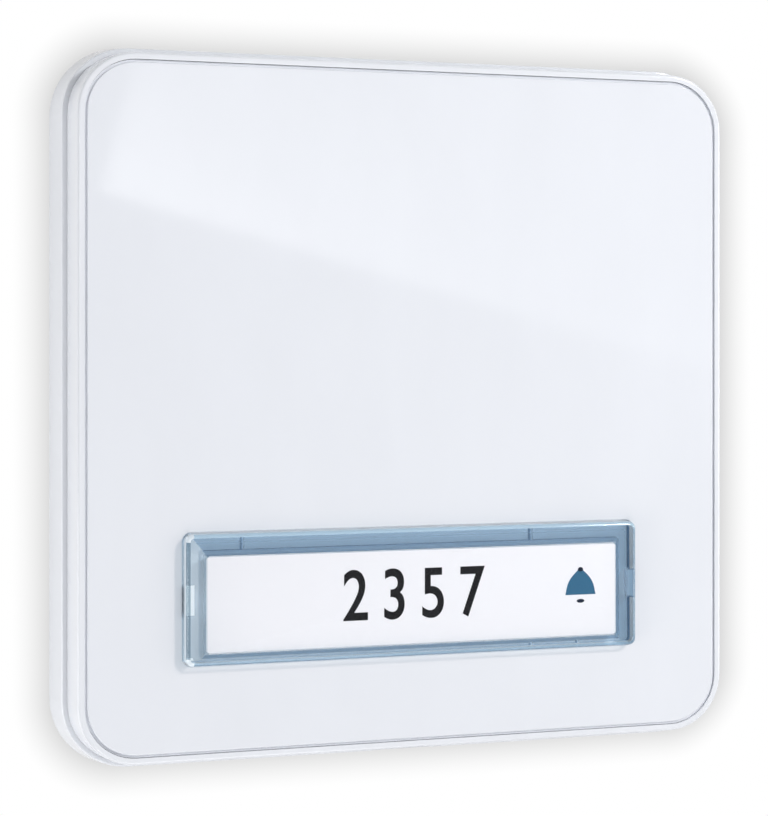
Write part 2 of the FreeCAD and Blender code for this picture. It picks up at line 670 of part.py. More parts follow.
def make_front_panel():
    """The gloss panel that fills the front, with the opening for the push cap."""
    body = new_body("front_panel", 0, PANEL_BACK, 0)
    seat = new_sketch(body, "panel_seat")
    square_outline(seat, PANEL_SEAT_HALF)
    pad(body, seat, size.panel_thickness - size.panel_gap_depth)
    face = new_sketch(body, "panel_face")
    square_outline(face, PANEL_HALF)
    pad(body, face, size.panel_thickness)
    opening = new_sketch(body, "panel_opening")
    button_outline(opening, size.button_clearance, BUTTON_Z)
    holed = pocket(body, opening, size.panel_thickness)
    round_edges(body, holed, size.panel_round, size.panel_thickness)


def make_button_lens():
    """The clear push cap: a front wall and a solid rim round the card's pocket."""
    body = new_body("button_lens", 0, LENS_BACK, BUTTON_Z)
    outline = new_sketch(body, "lens_outline")
    button_outline(outline)
    block = pad(body, outline, size.lens_depth)
    round_edges(body, block, size.lens_round, size.lens_depth)
    room = new_sketch(body, "lens_pocket")
    add_rounded(room, WINDOW_HALF_WIDTH, WINDOW_HALF_HEIGHT, size.window_corner, 0, WINDOW_Z)
    pocket(body, room, size.lens_depth - size.lens_front)
    notches = new_sketch(body, "clip_notches")
    reach = size.clip_thickness + 2 * size.clip_clearance
    for side in (1, -1):
        x = side * (BUTTON_HALF_WIDTH - reach / 2)
        add_rectangle(notches, reach, size.clip_height + 2 * size.clip_clearance, x, 0)
    pocket(body, notches, size.clip_reach + size.clip_clearance)


def make_name_card():
    """The card behind the clear cap."""
    depth = LENS_BACK + DIFFUSER_THICKNESS
    body = new_body("name_card", 0, depth, BUTTON_Z + WINDOW_Z)
    sketch = new_sketch(body, "card_outline")
    wide, tall = WINDOW_HALF_WIDTH - size.card_clearance, WINDOW_HALF_HEIGHT - size.card_clearance
    add_rectangle(sketch, 2 * wide, 2 * tall)
    pad(body, sketch, size.card_thickness)


def make_light_diffuser():
    """The milky plate that spreads the lamps' light behind the card."""
    body = new_body("light_diffuser", 0, LENS_BACK, BUTTON_Z + WINDOW_Z)
    sketch = new_sketch(body, "diffuser_outline")
    wide, tall = WINDOW_HALF_WIDTH - size.card_clearance, WINDOW_HALF_HEIGHT - size.card_clearance
    add_rectangle(sketch, 2 * wide, 2 * tall)
    pad(body, sketch, DIFFUSER_THICKNESS)


def make_button_carrier():
    """The white slider that carries the cap, stops behind the web and presses the switch."""
    body = new_body("button_carrier", 0, CARRIER_BACK, BUTTON_Z)
    ceiling = CARRIER_CEILING - CARRIER_BACK
    front = LENS_BACK - CARRIER_BACK

    neck = new_sketch(body, "carrier_neck")
    button_outline(neck)
    pad(body, neck, front)
    flange = new_sketch(body, "carrier_flange")
    button_outline(flange, size.flange_width)
    pad(body, flange, size.flange_thickness)

    inside = new_sketch(body, "carrier_inside")
    wide, tall = BUTTON_HALF_WIDTH - size.carrier_wall, BUTTON_HALF_HEIGHT - size.carrier_wall
    add_rectangle(inside, 2 * wide, 2 * tall)
    pocket(body, inside, ceiling)

    windows = new_sketch(body, "light_windows", ceiling)
    middle = (size.light_window_inner + size.light_window_outer) / 2
    for side in (1, -1):
        length = size.light_window_outer - size.light_window_inner
        add_rectangle(windows, length, size.light_window_height, side * middle, 0)
    pocket(body, windows, size.carrier_plate)

    peg = new_sketch(body, "switch_peg", ceiling - size.actuator_length)
    add_circle(peg, size.actuator_diameter)
    pad(body, peg, size.actuator_length + size.carrier_plate / 2)
    posts = new_sketch(body, "upper_spring_posts", ceiling - size.spring_pin_height)
    for side in (1, -1):
        add_circle(posts, size.spring_post, side * SPRING_X, 0)
    pad(body, posts, size.spring_pin_height + size.carrier_plate / 2)

    clips = new_sketch(body, "lens_clips", front - size.carrier_plate / 2)
    for side in (1, -1):
        x = side * (BUTTON_HALF_WIDTH - size.clip_clearance - size.clip_thickness / 2)
        add_rectangle(clips, size.clip_thickness, size.clip_height, x, 0)
    pad(body, clips, size.clip_reach + size.carrier_plate / 2)


def make_button_retainer():
    """The frame behind the button, with four screwed ears: it keeps the carrier in and seats the springs."""
    body = new_body("button_retainer", 0, RETAINER_BACK, BUTTON_Z)
    frame = new_sketch(body, "retainer_outline")
    add_rounded(frame, RETAINER_HALF_WIDTH, RETAINER_BAR_HALF, size.boss_diameter / 2)
    pad(body, frame, size.retainer_thickness)
    ears = new_sketch(body, "retainer_ears")
    for side in (1, -1):
        x = side * size.boss_inset
        add_rounded(ears, RETAINER_EAR_HALF, RETAINER_HALF_HEIGHT, size.boss_diameter / 2, x, 0)
    pad(body, ears, size.retainer_thickness)
    window = new_sketch(body, "retainer_window")
    add_rounded(window, size.retainer_window_width / 2, size.retainer_window_height / 2, size.button_corner)
    pocket(body, window, size.retainer_thickness)
    holes = new_sketch(body, "retainer_holes")
    for x, z in mirrored_places(size.boss_inset, BOSS_Z):
        add_circle(holes, size.retainer_screw_shank + 2 * size.retainer_hole_gap, x, z)
    pocket(body, holes, size.retainer_thickness)
    posts = new_sketch(body, "lower_spring_posts", size.retainer_thickness / 2)
    for side in (1, -1):
        add_circle(posts, size.spring_post, side * SPRING_X, 0)
    pad(body, posts, size.spring_post_height + size.retainer_thickness / 2)


def make_retainer_screws():
    """Four small screws, driven from behind into the cover's bosses."""
    depth = RETAINER_BACK - size.retainer_screw_head_height
    body = new_body("retainer_screws", 0, depth, BUTTON_Z)
    places = mirrored_places(size.boss_inset, BOSS_Z)
    heads = new_sketch(body, "retainer_screw_heads")
    shanks = new_sketch(body, "retainer_screw_shanks", size.retainer_screw_head_height / 2)
    for x, z in places:
        add_circle(heads, size.retainer_screw_head, x, z)
        add_circle(shanks, size.retainer_screw_shank, x, z)
    pad(body, heads, size.retainer_screw_head_height)
    pad(body, shanks, size.retainer_screw_length + size.retainer_screw_head_height / 2)
    recess_depth = size.retainer_screw_head_height / 2
    cross_recess(body, "retainer_cross", places, size.retainer_cross, 0, recess_depth)


def make_circuit_board():
    """The board with its fixing and terminal holes."""
    body = new_body("circuit_board", 0, BOARD_BACK, BOARD_Z)
    outline = new_sketch(body, "board_outline")
    add_rectangle(outline, size.board_width, BOARD_TOP - BOARD_BOTTOM)
    pad(body, outline, size.board_thickness)
    holes = new_sketch(body, "board_holes")
    for side in (1, -1):
        x = side * size.board_fixing_inset
        add_circle(holes, size.board_screw_shank + 2 * size.board_hole_gap, x, BOARD_SCREW_Z - BOARD_Z)
        add_circle(holes, size.locating_pin + 2 * size.fit_gap, x, LOCATING_PIN_Z - BOARD_Z)
        x = side * size.terminal_inset
        add_circle(holes, size.terminal_screw_shank + 2 * size.board_hole_gap, x, TERMINAL_Z - BOARD_Z)
    pocket(body, holes, size.board_thickness)


def make_board_screws():
    """Two screws that hold the board's upper edge to the housing."""
    body = new_body("board_screws", 0, BOARD_SCREW_TIP, BOARD_SCREW_Z)
    places = [(side * size.board_fixing_inset, 0) for side in (1, -1)]
    shanks = new_sketch(body, "board_screw_shanks")
    heads = new_sketch(body, "board_screw_heads", size.board_screw_length)
    for x, z in places:
        add_circle(shanks, size.board_screw_shank, x, z)
        add_circle(heads, size.board_screw_head, x, z)
    pad(body, shanks, size.board_screw_length + size.board_screw_head_height / 2)
    pad(body, heads, size.board_screw_head_height)
    top = size.board_screw_length + size.board_screw_head_height / 2
    cross_recess(body, "board_cross", places, size.board_cross, top, size.board_screw_head_height)


def make_switch_body():
    """The moulded case of the push switch, with its round chamber."""
    body = new_body("switch_body", 0, BOARD_FRONT, BUTTON_Z)
    case = new_sketch(body, "switch_case")
    add_rounded(case, size.switch_side / 2, size.switch_side / 2, size.switch_corner)
    pad(body, case, SWITCH_HEIGHT)
    chamber = new_sketch(body, "switch_chamber", size.switch_floor)
    add_circle(chamber, size.switch_bore)
    pocket(body, chamber, SWITCH_CHAMBER)


def make_switch_lid():
    """The steel lid over the switch, with the hole that guides the plunger."""
    body = new_body("switch_lid", 0, BOARD_FRONT + SWITCH_HEIGHT, BUTTON_Z)
    sheet_metal = new_sketch(body, "lid_outline")
    add_rounded(sheet_metal, size.switch_side / 2, size.switch_side / 2, size.switch_corner)
    pad(body, sheet_metal, size.switch_lid)
    hole = new_sketch(body, "lid_hole")
    add_circle(hole, size.plunger_diameter + 2 * size.plunger_clearance)
    pocket(body, hole, size.switch_lid)


def make_switch_plunger():
    """The plunger that the carrier's peg pushes in."""
    body = new_body("switch_plunger", 0, PLUNGER_BACK, BUTTON_Z)
    top = PLUNGER_TOP - PLUNGER_BACK
    collar, stem = size.plunger_collar / 2, size.plunger_diameter / 2
    height = size.plunger_collar_height
    steps = (
        (0, 0), (0, collar), (height, collar), (height, stem),
        (top - size.plunger_bevel, stem), (top, stem - size.plunger_bevel), (top, 0),
    )
    turned_profile(body, "plunger_profile", steps)


def make_contact_disc():
    """The snap disc under the plunger, a shallow dish of thin spring sheet."""
    body = new_body("contact_disc", 0, BOARD_FRONT + size.switch_floor, BUTTON_Z)
    crown = size.button_travel + size.plunger_overrun - size.collar_gap
    rim = size.plunger_collar / 2
    metal = size.disc_metal
    flat = size.disc_crown
    steps = (
        (crown, 0), (crown, flat), (metal, rim), (0, rim),
        (0, rim - 2 * metal), (crown - metal, flat - metal), (crown - metal, 0),
    )
    turned_profile(body, "disc_profile", steps)


def make_block_group(label, places, width, height, thickness, depth):
    """Identical blocks on the board, one solid each."""
    body = new_body(label, 0, depth, 0)
    sketch = new_sketch(body, f"{label}_outlines")
    for x, z in places:
        add_rectangle(sketch, width, height, x, z)
    pad(body, sketch, thickness)
    return body


def make_legs(label, x, z, body_width, pitch):
    """Four soldered legs, two on each side of a body that stands at x, z."""
    reach = (body_width + size.leg_length) / 2
    places = [(x + side * reach, z + row * pitch / 2) for side in (1, -1) for row in (1, -1)]
    make_block_group(label, places, size.leg_length, size.leg_width, size.leg_metal, BOARD_FRONT)


def make_backlight_lamps():
    """Four lamps in a row behind the card."""
    insets = (size.lamp_inner, size.lamp_outer)
    places = [(side * inset, BUTTON_Z) for inset in insets for side in (1, -1)]
    sides = (size.lamp_length, size.lamp_width, size.lamp_height)
    make_block_group("backlight_lamps", places, *sides, BOARD_FRONT)


def make_rectifier():
    """The bridge rectifier, so that either wire may go to either terminal, and its legs."""
    places = [(size.parts_inset, TERMINAL_Z)]
    sides = (size.rectifier_width, size.rectifier_height, size.rectifier_thickness)
    make_block_group("bridge_rectifier", places, *sides, BOARD_FRONT)
    pitch = size.rectifier_leg_pitch
    make_legs("rectifier_legs", size.parts_inset, TERMINAL_Z, size.rectifier_width, pitch)


def make_resistors():
    """Two resistors in series with the lamps."""
    places = [(-size.parts_inset, TERMINAL_Z + row * size.chip_width) for row in (1, -1)]
    sides = (size.chip_length, size.chip_width, size.chip_thickness)
    make_block_group("series_resistors", places, *sides, BOARD_FRONT)


def make_terminals():
    """Two screw terminals for the bell wires: plate, clamp and screw."""
    places = [(side * size.terminal_inset, TERMINAL_Z) for side in (1, -1)]
    bore = size.terminal_screw_shank + 2 * size.fit_gap
    clamp_back = BOARD_FRONT + size.terminal_metal
    stack = (
        ("terminal_plates", BOARD_FRONT, size.terminal_width, size.terminal_height),
        ("wire_clamps", clamp_back, size.clamp_side, size.clamp_side),
    )
    for label, depth, wide, tall in stack:
        body = make_block_group(label, places, wide, tall, size.terminal_metal, depth)
        holes = new_sketch(body, f"{label}_holes")
        for x, z in places:
            add_circle(holes, bore, x, z)
        pocket(body, holes, size.terminal_metal)
    screws = new_body("terminal_screws", 0, clamp_back + size.terminal_metal - size.terminal_screw_length, 0)
    shanks = new_sketch(screws, "terminal_shanks")
    heads = new_sketch(screws, "terminal_heads", size.terminal_screw_length)
    head_middle = size.terminal_screw_length + size.terminal_screw_head_height / 2
    slots = new_sketch(screws, "terminal_slots", head_middle)
    for x, z in places:
        add_circle(shanks, size.terminal_screw_shank, x, z)
        add_circle(heads, size.terminal_screw_head, x, z)
        add_rectangle(slots, size.terminal_screw_head + size.cut_over, size.screw_slot_width, x, z)
    pad(screws, shanks, head_middle)
    pad(screws, heads, size.terminal_screw_head_height)
    pocket(screws, slots, size.terminal_screw_head_height)


def arc_with_tangent(start, tangent, end):
    """The circular arc that leaves start along a tangent and ends at end."""
    chord = end - start
    along = Vector(chord).normalize()
    across = tangent - along * tangent.dot(along)
    half_turn = math.acos(max(-1.0, min(1.0, Vector(tangent).normalize().dot(along))))
    rise = chord.Length / 2 * math.tan(half_turn / 2)
    middle = (start + end) * 0.5 + across.normalize() * rise
    return Part.Arc(start, middle, end)


def biarc(start, start_tangent, end, end_tangent):
    """Two arcs that meet smoothly and join two points with given tangents."""
    span = end - start
    pull = start_tangent + end_tangent
    spread = 2 * (1 - start_tangent.dot(end_tangent))
    along = span.dot(pull)
    reach = (math.sqrt(along * along + spread * span.dot(span)) - along) / spread
    joint = (start + end + (start_tangent - end_tangent) * reach) * 0.5
    joint_tangent = (joint - start - start_tangent * reach).normalize()
    return arc_with_tangent(start, start_tangent, joint), arc_with_tangent(joint, joint_tangent, end)


def helix_path(radius, rise, turns):
    """A helix about the Y axis, towards -Y, as smooth arcs of a quarter turn and less."""
    quarters = turns * SPRING_QUARTERS
    slope = rise / (turns * 2 * math.pi * radius)
    points, tangents = [], []
    for step in range(quarters + 1):
        angle = math.pi / 2 * step
        points.append(Vector(radius * math.cos(angle), -rise * step / quarters, radius * math.sin(angle)))
        tangents.append(Vector(-math.sin(angle), -slope, math.cos(angle)).normalize())
    arcs = []
    for step in range(quarters):
        arcs.extend(biarc(points[step], tangents[step], points[step + 1], tangents[step + 1]))
    return arcs, points[0], tangents[0]


def least_gap(arcs, wire, turns):
    """Smallest distance between neighbouring turns of a coil, surface to surface."""
    samples = []
    for arc in arcs:
        samples.extend(arc.toShape().discretize(SAMPLES_PER_ARC + 1)[:-1])
    per_turn = len(samples) // turns
    gaps = []
    for index, point in enumerate(samples):
        for other in samples[index + per_turn // 2:]:
            gaps.append(point.distanceToPoint(other) - wire)
    return min(gaps)


def make_return_springs():
    """Two coil springs between retainer and carrier, each one unbroken wire."""
    wire = number(size.spring_wire)
    radius = (number(size.spring_diameter) - wire) / 2
    room = number(CARRIER_CEILING - RETAINER_FRONT)
    lift = number(size.spring_seat_gap) + wire / 2
    arcs, start, direction = helix_path(radius, room - 2 * lift, SPRING_TURNS)
    print(f"return springs: least gap between turns {least_gap(arcs, wire, SPRING_TURNS):.3f} mm")
    path = Part.Wire([arc.toShape() for arc in arcs])
    section = Part.Wire([Part.Circle(start, direction, wire / 2).toShape()])
    coil = path.makePipeShell([section], True, False)
    for label, side in (("return_spring_left", -1), ("return_spring_right", 1)):
        spring = doc.addObject("Part::Feature", label)
        spring.Label = label
        spring.Shape = coil
        place = Vector(side * number(SPRING_X), -number(RETAINER_FRONT) - lift, number(BUTTON_Z))
        turn = 0 if side > 0 else FULL_TURN / 2
        spring.Placement = Placement(place, Rotation(Vector(0, 1, 0), turn))
        subparts.append(spring)


def check_document():
    """Stops where any object failed or any sub-part isn't a sound solid."""
    doc.recompute()
    for item in doc.Objects:
        if "Invalid" in item.State or "Error" in item.State:
            raise ValueError(f"{item.Name} failed: {item.State}")
    for piece in subparts:
        if piece.Shape.isNull() or not piece.Shape.isValid() or not piece.Shape.Solids:
            raise ValueError(f"{piece.Label} has no sound solid")


def write_subparts():
    """Writes each sub-part to its own file in parts/."""
    os.makedirs("parts", exist_ok=True)
    for piece in subparts:
        piece.Shape.exportStep(os.path.join("parts", f"{piece.Label}.step"))
        print(f"{piece.Label}: {len(piece.Shape.Solids)} solid(s), {piece.Shape.Volume:.1f} mm3")


make_rear_housing()
make_cable_grommet()
make_front_cover()
make_front_panel()
make_button_lens()
make_name_card()
make_light_diffuser()
make_button_carrier()
make_button_retainer()
make_retainer_screws()
make_return_springs()
make_circuit_board()
make_board_screws()
make_switch_body()
make_switch_lid()
make_switch_plunger()
make_contact_disc()
make_legs("switch_legs", Formula(0), BUTTON_Z, size.switch_side, size.switch_leg_pitch)
make_backlight_lamps()
make_rectifier()
make_resistors()
make_terminals()
check_document()
write_subparts()
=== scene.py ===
"""Looks of a square, wired doorbell push: its finishes, printed card, clear cap, springs, board and studio.

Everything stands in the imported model's frame, in metres: X to the right, Z up and Y into the wall, whose
face is the plane y = 0. The plate's front looks along -Y, and a place's distance from the wall is -y.
"""
import logging
import math
from collections.abc import Callable, Iterator
from contextlib import contextmanager
from dataclasses import dataclass
from enum import Enum

import bmesh
import bpy
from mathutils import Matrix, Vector


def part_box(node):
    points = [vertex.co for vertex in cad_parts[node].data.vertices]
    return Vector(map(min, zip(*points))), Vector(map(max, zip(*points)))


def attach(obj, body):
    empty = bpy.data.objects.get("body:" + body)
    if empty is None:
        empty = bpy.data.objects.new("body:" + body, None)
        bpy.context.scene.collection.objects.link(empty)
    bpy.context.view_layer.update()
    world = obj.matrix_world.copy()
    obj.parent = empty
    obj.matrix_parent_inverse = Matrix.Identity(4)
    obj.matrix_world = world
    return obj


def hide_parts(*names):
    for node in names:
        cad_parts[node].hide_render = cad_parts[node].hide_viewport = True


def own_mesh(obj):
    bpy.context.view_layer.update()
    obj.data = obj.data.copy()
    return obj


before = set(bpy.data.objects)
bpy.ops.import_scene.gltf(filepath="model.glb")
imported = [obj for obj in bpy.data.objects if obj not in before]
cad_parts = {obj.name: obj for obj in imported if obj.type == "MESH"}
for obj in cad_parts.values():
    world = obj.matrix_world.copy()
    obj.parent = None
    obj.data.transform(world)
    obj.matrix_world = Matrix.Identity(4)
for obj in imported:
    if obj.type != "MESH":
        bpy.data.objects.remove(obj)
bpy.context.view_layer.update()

MM = 0.001
MICRON = 0.000001
RGB = tuple[float, float, float]
Point = tuple[float, float, float]
Rounding = tuple[float, int]
PlaceTest = Callable[[Vector, Vector], bool]
Node = bpy.types.Node
Socket = bpy.types.NodeSocket
WHITE = (1.0, 1.0, 1.0)
UPRIGHT = (math.pi / 2, 0.0, 0.0)
SMOOTH_ANGLE = math.radians(32)
log = logging.getLogger("doorbell_push")


class NodeSheet:
    """A material's or world's node tree, with one call for each kind of node that the finishes share."""

    def __init__(self, owner: bpy.types.Material | bpy.types.World) -> None:
        """Clears the tree and starts it with an output and the object's own coordinates.

        Args:
            owner: the material or world.
        """
        owner.use_nodes = True
        self.tree = owner.node_tree
        self.tree.nodes.clear()
        kind = "Material" if isinstance(owner, bpy.types.Material) else "World"
        self.output = self.node(f"ShaderNodeOutput{kind}")
        self.place = self.node("ShaderNodeTexCoord").outputs["Object"]

    def node(self, kind: str, **settings: object) -> Node:
        """Adds a node.

        Args:
            kind: the node's type name.
            settings: the node's own properties, by name.

        Returns:
            The new node.
        """
        made = self.tree.nodes.new(kind)
        for name, value in settings.items():
            setattr(made, name, value)
        return made

    def fill(self, socket: Socket, value: object) -> None:
        """Gives an input its value.

        Args:
            socket: the input.
            value: another node's output, a colour as a tuple, a plain number or list, or None to leave it.
        """
        if isinstance(value, Socket):
            self.tree.links.new(value, socket)
        elif value is not None:
            socket.default_value = (*value, 1.0) if isinstance(value, tuple) else value

    def filled(self, kind: str, **values: object) -> Node:
        """Adds a node and fills its inputs.

        Args:
            kind: the node's type name.
            values: a value for each input, its name written with underscores for spaces.

        Returns:
            The new node.
        """
        made = self.node(kind)
        for name, value in values.items():
            self.fill(made.inputs[name.replace("_", " ")], value)
        return made

    def fed(self, made: Node, *values: object) -> Node:
        """Fills a node's inputs in their order, and hands the node back."""
        for socket, value in zip(made.inputs, values):
            self.fill(socket, value)
        return made

    def maths(self, operation: str, *values: object) -> Socket:
        """Calculates with sockets or plain numbers."""
        return self.fed(self.node("ShaderNodeMath", operation=operation), *values).outputs[0]

    def ray(self, kind: str) -> Socket:
        """Tells whether the surface is seen by a kind of ray, such as Shadow or Glossy."""
        return self.node("ShaderNodeLightPath").outputs[f"Is {kind} Ray"]

    def mix(self, share: Socket, first: Node, second: Node) -> Node:
        """Mixes two shaders. The share of the second one is 0 to 1."""
        return self.fed(self.node("ShaderNodeMixShader"), share, first.outputs[0], second.outputs[0])

    def show(self, shader: Node) -> None:
        """Makes a shader the material's or world's surface."""
        self.fill(self.output.inputs["Surface"], shader.outputs[0])

    def noise(self, size: float, detail: float, stretch: Point = (1.0, 1.0, 1.0)) -> Socket:
        """Adds a cloudy pattern that stays with the piece.

        Args:
            size: the width of one patch, in metres.
            detail: how many finer layers are added.
            stretch: how many times as long a patch is along each axis.

        Returns:
            The pattern's strength, 0 to 1, about 0.5 on average.
        """
        mapping = self.filled("ShaderNodeMapping", Vector=self.place, Scale=[1 / share for share in stretch])
        spot = mapping.outputs["Vector"]
        return self.filled("ShaderNodeTexNoise", Vector=spot, Scale=1 / size, Detail=detail).outputs[0]

    def span(self, value: Socket, low: float, high: float, start: float = 0.3, end: float = 0.7) -> Socket:
        """Turns a pattern that runs from start to end into numbers that run from low to high."""
        limits = {"From_Min": start, "From_Max": end, "To_Min": low, "To_Max": high}
        return self.filled("ShaderNodeMapRange", Value=value, **limits).outputs["Result"]

    def blend(self, share: Socket, first: RGB, second: RGB) -> Socket:
        """Mixes two colours by a pattern.

        Args:
            share: how much of the second colour shows, 0 to 1.
            first: the first colour.
            second: the second colour.

        Returns:
            The mixed colour.
        """
        made = self.node("ShaderNodeMix", data_type="RGBA")
        self.fill(made.inputs["Factor"], share)
        for socket, colour in zip((s for s in made.inputs if s.type == "RGBA"), (first, second)):
            self.fill(socket, colour)
        return next(s for s in made.outputs if s.type == "RGBA")

    def bump(self, height: Socket, depth: float, under: Socket | None = None) -> Socket:
        """Raises the surface by a pattern of a given depth, on top of another relief if there is one."""
        return self.filled("ShaderNodeBump", Height=height, Distance=depth, Normal=under).outputs["Normal"]


@dataclass(frozen=True)
class Finish:
    """What every finish has.

    Attributes:
        slot: the record's material slot; not used.
        colour: the surface's colour, linear.
        roughness: how matt its smoothest spots are, 0 to 1.
    """

    slot: str
    colour: RGB
    roughness: float

    def lay(self, sheet: NodeSheet) -> None:
        """Draws the finish into an empty sheet."""
        raise NotImplementedError

    def darker(self, share: float) -> RGB:
        """Gives the finish's colour, darkened by a share of itself."""
        return tuple(part * (1 - share) for part in self.colour)

    def paler(self, lift: float) -> RGB:
        """Gives the finish's colour, lifted towards white by the same amount in each part."""
        return tuple(part + lift for part in self.colour)

    def wear(self, sheet: NodeSheet, pattern: Socket, spread: float) -> Socket:
        """Lets the roughness vary with a cloudy pattern, by a given spread."""
        return sheet.span(pattern, self.roughness, self.roughness + spread)


@dataclass(frozen=True)
class MouldedPlastic(Finish):
    """Injection moulded plastic, with faint flow marks, uneven roughness and a grained or rippled skin.

    Attributes:
        spread: how much rougher its mattest spots are than its smoothest.
        shade: how much darker the flow marks are.
        grain: the width of the skin's grain, in metres.
        grain_depth: the depth of that grain.
        ripple: the width of the slow waves in the skin, in metres.
        ripple_depth: the depth of those waves.
        milk: how much light runs through under the skin, 0 to 1.
        glow: painted light: how brightly it shines by itself, as if lit by the lamps behind it, where 1 is
            white.
    """

    spread: float = 0.06
    shade: float = 0.02
    grain: float = 0.2 * MM
    grain_depth: float = 0.4 * MICRON
    ripple: float = 7.0 * MM
    ripple_depth: float = 1.0 * MICRON
    milk: float = 0.0
    glow: float = 0.0

    def lay(self, sheet: NodeSheet) -> None:
        """Draws the plastic.

        Args:
            sheet: the empty sheet.
        """
        flow = sheet.span(sheet.noise(9 * MM, 3.0, stretch=(1.0, 1.0, 2.5)), 0.0, 1.0)
        waves = sheet.bump(sheet.noise(self.ripple, 1.0), self.ripple_depth)
        sheet.show(sheet.filled(
            "ShaderNodeBsdfPrincipled", IOR=1.54,
            Base_Color=sheet.blend(flow, self.colour, self.darker(self.shade)),
            Roughness=self.wear(sheet, sheet.noise(2.5 * MM, 5.0), self.spread),
            Normal=sheet.bump(sheet.noise(self.grain, 3.0), self.grain_depth, waves),
            Subsurface_Weight=self.milk, Subsurface_Scale=1.5 * MM,
            Emission_Color=WHITE, Emission_Strength=self.glow,
        ))


@dataclass(frozen=True)
class ClearPlastic(Finish):
    """Polished clear plastic. Its colour is the tint of one crossing.

    Attributes:
        passes: how much of the lamps' light gets through one crossing, and isn't bent aside.
        haze: how much of the surface is a whitish veil, 0 to 1.
        glare: how strongly it mirrors what lies in front of it, where 1 is plain plastic.
    """

    passes: RGB = (0.99, 0.99, 0.99)
    haze: float = 0.0
    glare: float = 1.0

    def lay(self, sheet: NodeSheet) -> None:
        """Draws the clear plastic.

        Args:
            sheet: the empty sheet.
        """
        there_and_back = tuple(part * part for part in self.colour)
        body = sheet.filled(
            "ShaderNodeBsdfPrincipled", IOR=1.49, Transmission_Weight=1.0 - self.haze,
            Base_Color=there_and_back, Specular_Tint=(self.glare, self.glare, self.glare),
            Roughness=self.wear(sheet, sheet.noise(3 * MM, 4.0), 0.02),
            Normal=sheet.bump(sheet.noise(5 * MM, 1.0), 0.5 * MICRON),
        )
        light = sheet.maths("MAXIMUM", sheet.ray("Shadow"), sheet.ray("Diffuse"))
        sheet.show(sheet.mix(light, body, sheet.filled("ShaderNodeBsdfTransparent", Color=self.passes)))


@dataclass(frozen=True)
class Paper(Finish):
    """Smooth white card stock: short fibres and a matt skin."""

    def lay(self, sheet: NodeSheet) -> None:
        """Draws the paper into an empty sheet."""
        fibres = sheet.noise(0.12 * MM, 4.0, stretch=(6.0, 1.0, 1.0))
        sheet.show(sheet.filled(
            "ShaderNodeBsdfPrincipled", IOR=1.45,
            Base_Color=sheet.blend(sheet.span(fibres, 0.0, 1.0), self.colour, self.darker(0.03)),
            Roughness=self.wear(sheet, fibres, 0.15), Normal=sheet.bump(fibres, 2.0 * MICRON),
        ))


@dataclass(frozen=True)
class Ink(Finish):
    """Printing ink that has sunk a little into the card, so its cover is slightly uneven."""

    def lay(self, sheet: NodeSheet) -> None:
        """Draws the ink into an empty sheet."""
        cover = sheet.span(sheet.noise(0.15 * MM, 4.0), 0.0, 1.0)
        sheet.show(sheet.filled(
            "ShaderNodeBsdfPrincipled", IOR=1.45, Specular_IOR_Level=0.1,
            Base_Color=sheet.blend(cover, self.colour, self.paler(0.012)),
            Roughness=sheet.span(cover, self.roughness, self.roughness + 0.2, 0.0, 1.0),
        ))


@dataclass(frozen=True)
class Metal(Finish):
    """Plain or plated metal with drawing or turning marks and duller patches.

    Attributes:
        marks: how many times as long the marks are along each axis.
        dull: how much darker the handled patches are.
    """

    marks: Point = (8.0, 1.0, 1.0)
    dull: float = 0.25

    def lay(self, sheet: NodeSheet) -> None:
        """Draws the metal.

        Args:
            sheet: the empty sheet.
        """
        patches = sheet.span(sheet.noise(1.2 * MM, 5.0), 0.0, 1.0)
        lines = sheet.noise(0.08 * MM, 2.0, self.marks)
        sheet.show(sheet.filled(
            "ShaderNodeBsdfPrincipled", Metallic=1.0,
            Base_Color=sheet.blend(patches, self.colour, self.darker(self.dull)),
            Roughness=self.wear(sheet, lines, 0.2), Normal=sheet.bump(lines, 1.0 * MICRON),
        ))


@dataclass(frozen=True)
class Rubber(Finish):
    """Soft moulded rubber: matt, with a dusty bloom in patches and a fine pitted skin."""

    def lay(self, sheet: NodeSheet) -> None:
        """Draws the rubber into an empty sheet."""
        bloom = sheet.span(sheet.noise(1.6 * MM, 5.0), 0.0, 1.0)
        sheet.show(sheet.filled(
            "ShaderNodeBsdfPrincipled", IOR=1.5, Sheen_Weight=0.15,
            Base_Color=sheet.blend(bloom, self.colour, self.paler(0.03)),
            Roughness=sheet.span(bloom, self.roughness, self.roughness + 0.15, 0.0, 1.0),
            Normal=sheet.bump(sheet.noise(0.1 * MM, 3.0), 4.0 * MICRON),
        ))


@dataclass(frozen=True)
class SolderMask(Finish):
    """Green lacquer over glass cloth: the cloth's weave shows faintly through it."""

    def threads(self, sheet: NodeSheet, direction: str) -> Socket:
        """Draws the threads that run one way.

        Args:
            sheet: the finish's sheet.
            direction: the axis they cross, X or Z.

        Returns:
            Their height, 0 to 1.
        """
        wave = sheet.filled("ShaderNodeTexWave", Vector=sheet.place, Scale=1 / (2.5 * MM), Distortion=0.4)
        wave.bands_direction = direction
        return wave.outputs["Fac"]

    def lay(self, sheet: NodeSheet) -> None:
        """Draws the lacquered board into an empty sheet."""
        weave = sheet.maths("MULTIPLY", self.threads(sheet, "X"), self.threads(sheet, "Z"))
        sheet.show(sheet.filled(
            "ShaderNodeBsdfPrincipled", IOR=1.5, Coat_Weight=0.4, Coat_Roughness=0.15,
            Base_Color=sheet.blend(weave, self.colour, self.darker(0.25)),
            Roughness=self.wear(sheet, sheet.noise(1.0 * MM, 3.0), 0.1),
            Normal=sheet.bump(weave, 3.0 * MICRON),
        ))


